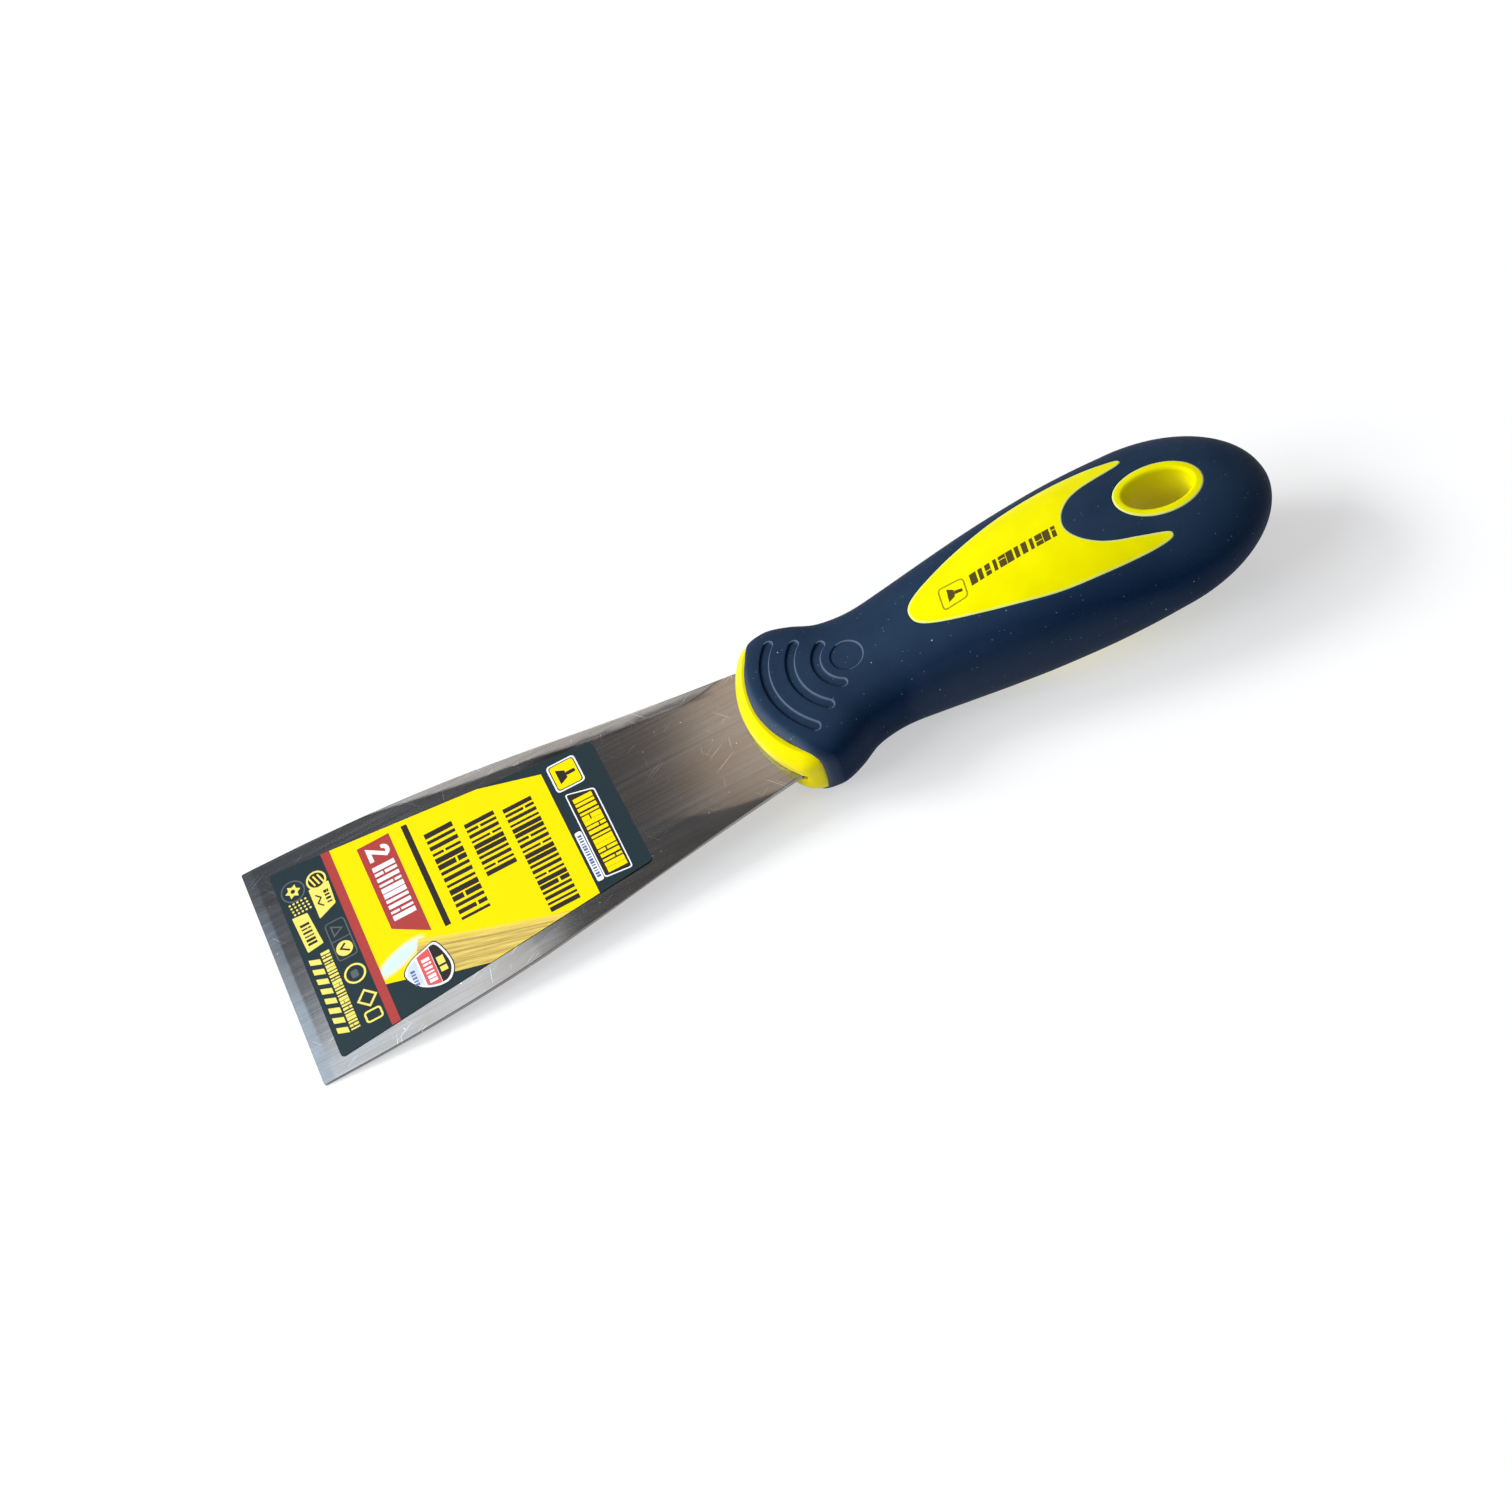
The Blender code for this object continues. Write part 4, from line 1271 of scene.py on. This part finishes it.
def make_surroundings():
    """An even surround that is brighter on the camera's side."""
    world = bpy.data.worlds.new("studio")
    bpy.context.scene.world = world
    world.use_nodes = True
    background = world.node_tree.nodes["Background"]
    background.inputs["Color"].default_value = (0.92, 0.97, 1.06, 1.0)
    tree = world.node_tree
    direction = tree.nodes.new("ShaderNodeTexCoord")
    split = tree.nodes.new("ShaderNodeSeparateXYZ")
    fade = tree.nodes.new("ShaderNodeMapRange")
    for key, value in SURROUNDINGS:
        fade.inputs[key].default_value = value
    tree.links.new(direction.outputs["Generated"], split.inputs["Vector"])
    tree.links.new(split.outputs["Y"], fade.inputs["Value"])
    tree.links.new(fade.outputs["Result"], background.inputs["Strength"])


def make_light():
    """Two soft suns, and four cards for the steel to reflect."""
    add_sun("rear_soft", (-0.72, 0.35, 0.6), 2.5, 20.0, (0.97, 1.0, 1.0))
    add_sun("side_soft", (-0.8, -0.05, 0.6), 1.9, 30.0, (0.92, 0.98, 1.0))
    add_card("warm_card", (0.275, 0.60, 0.80), (0.46, 0.34), 0.62, (1.0, 0.80, 0.62))
    add_card("rear_card", (0.05, 0.78, 0.78), (0.5, 0.1), 0.35, (1.0, 0.97, 0.94))
    add_card("top_card", (-0.36, 0.42, 1.0), (0.6, 0.16), 0.7, (0.95, 0.98, 1.0))
    add_card("cool_card", (-0.52, 0.5, 0.8), (0.4, 0.5), 1.1, (0.74, 0.88, 1.0))


def main():
    """Makes every piece, then the studio."""
    bpy.context.scene.view_settings.view_transform = "Standard"
    steel, rubber = steel_material(), rubber_material()
    yellow = yellow_material("yellow_plastic", (0.80, 0.73, 0.0), (0.74, 0.66, 0.0))
    # Painted highlight: a paler, cooler yellow along the rounded edges of the inlays and the
    # sleeve.
    edge = yellow_material("yellow_edge_highlight", (0.66, 0.72, 0.22), (0.6, 0.65, 0.16))
    # Painted shade: the guard takes a darker, more orange copy of the core's yellow plastic.
    guard = yellow_material("yellow_guard_shaded", (0.70, 0.595, 0.0), (0.66, 0.55, 0.0))
    make_blade(steel)
    make_guard(guard)
    make_sleeve([yellow, edge])
    make_inlay("inlay_front", 1, [yellow, edge])
    make_inlay("inlay_back", -1, [yellow, edge])
    make_inlay_print()
    make_grip(rubber)
    make_label()
    make_floor()
    make_surroundings()
    make_light()
    make_camera()


main()
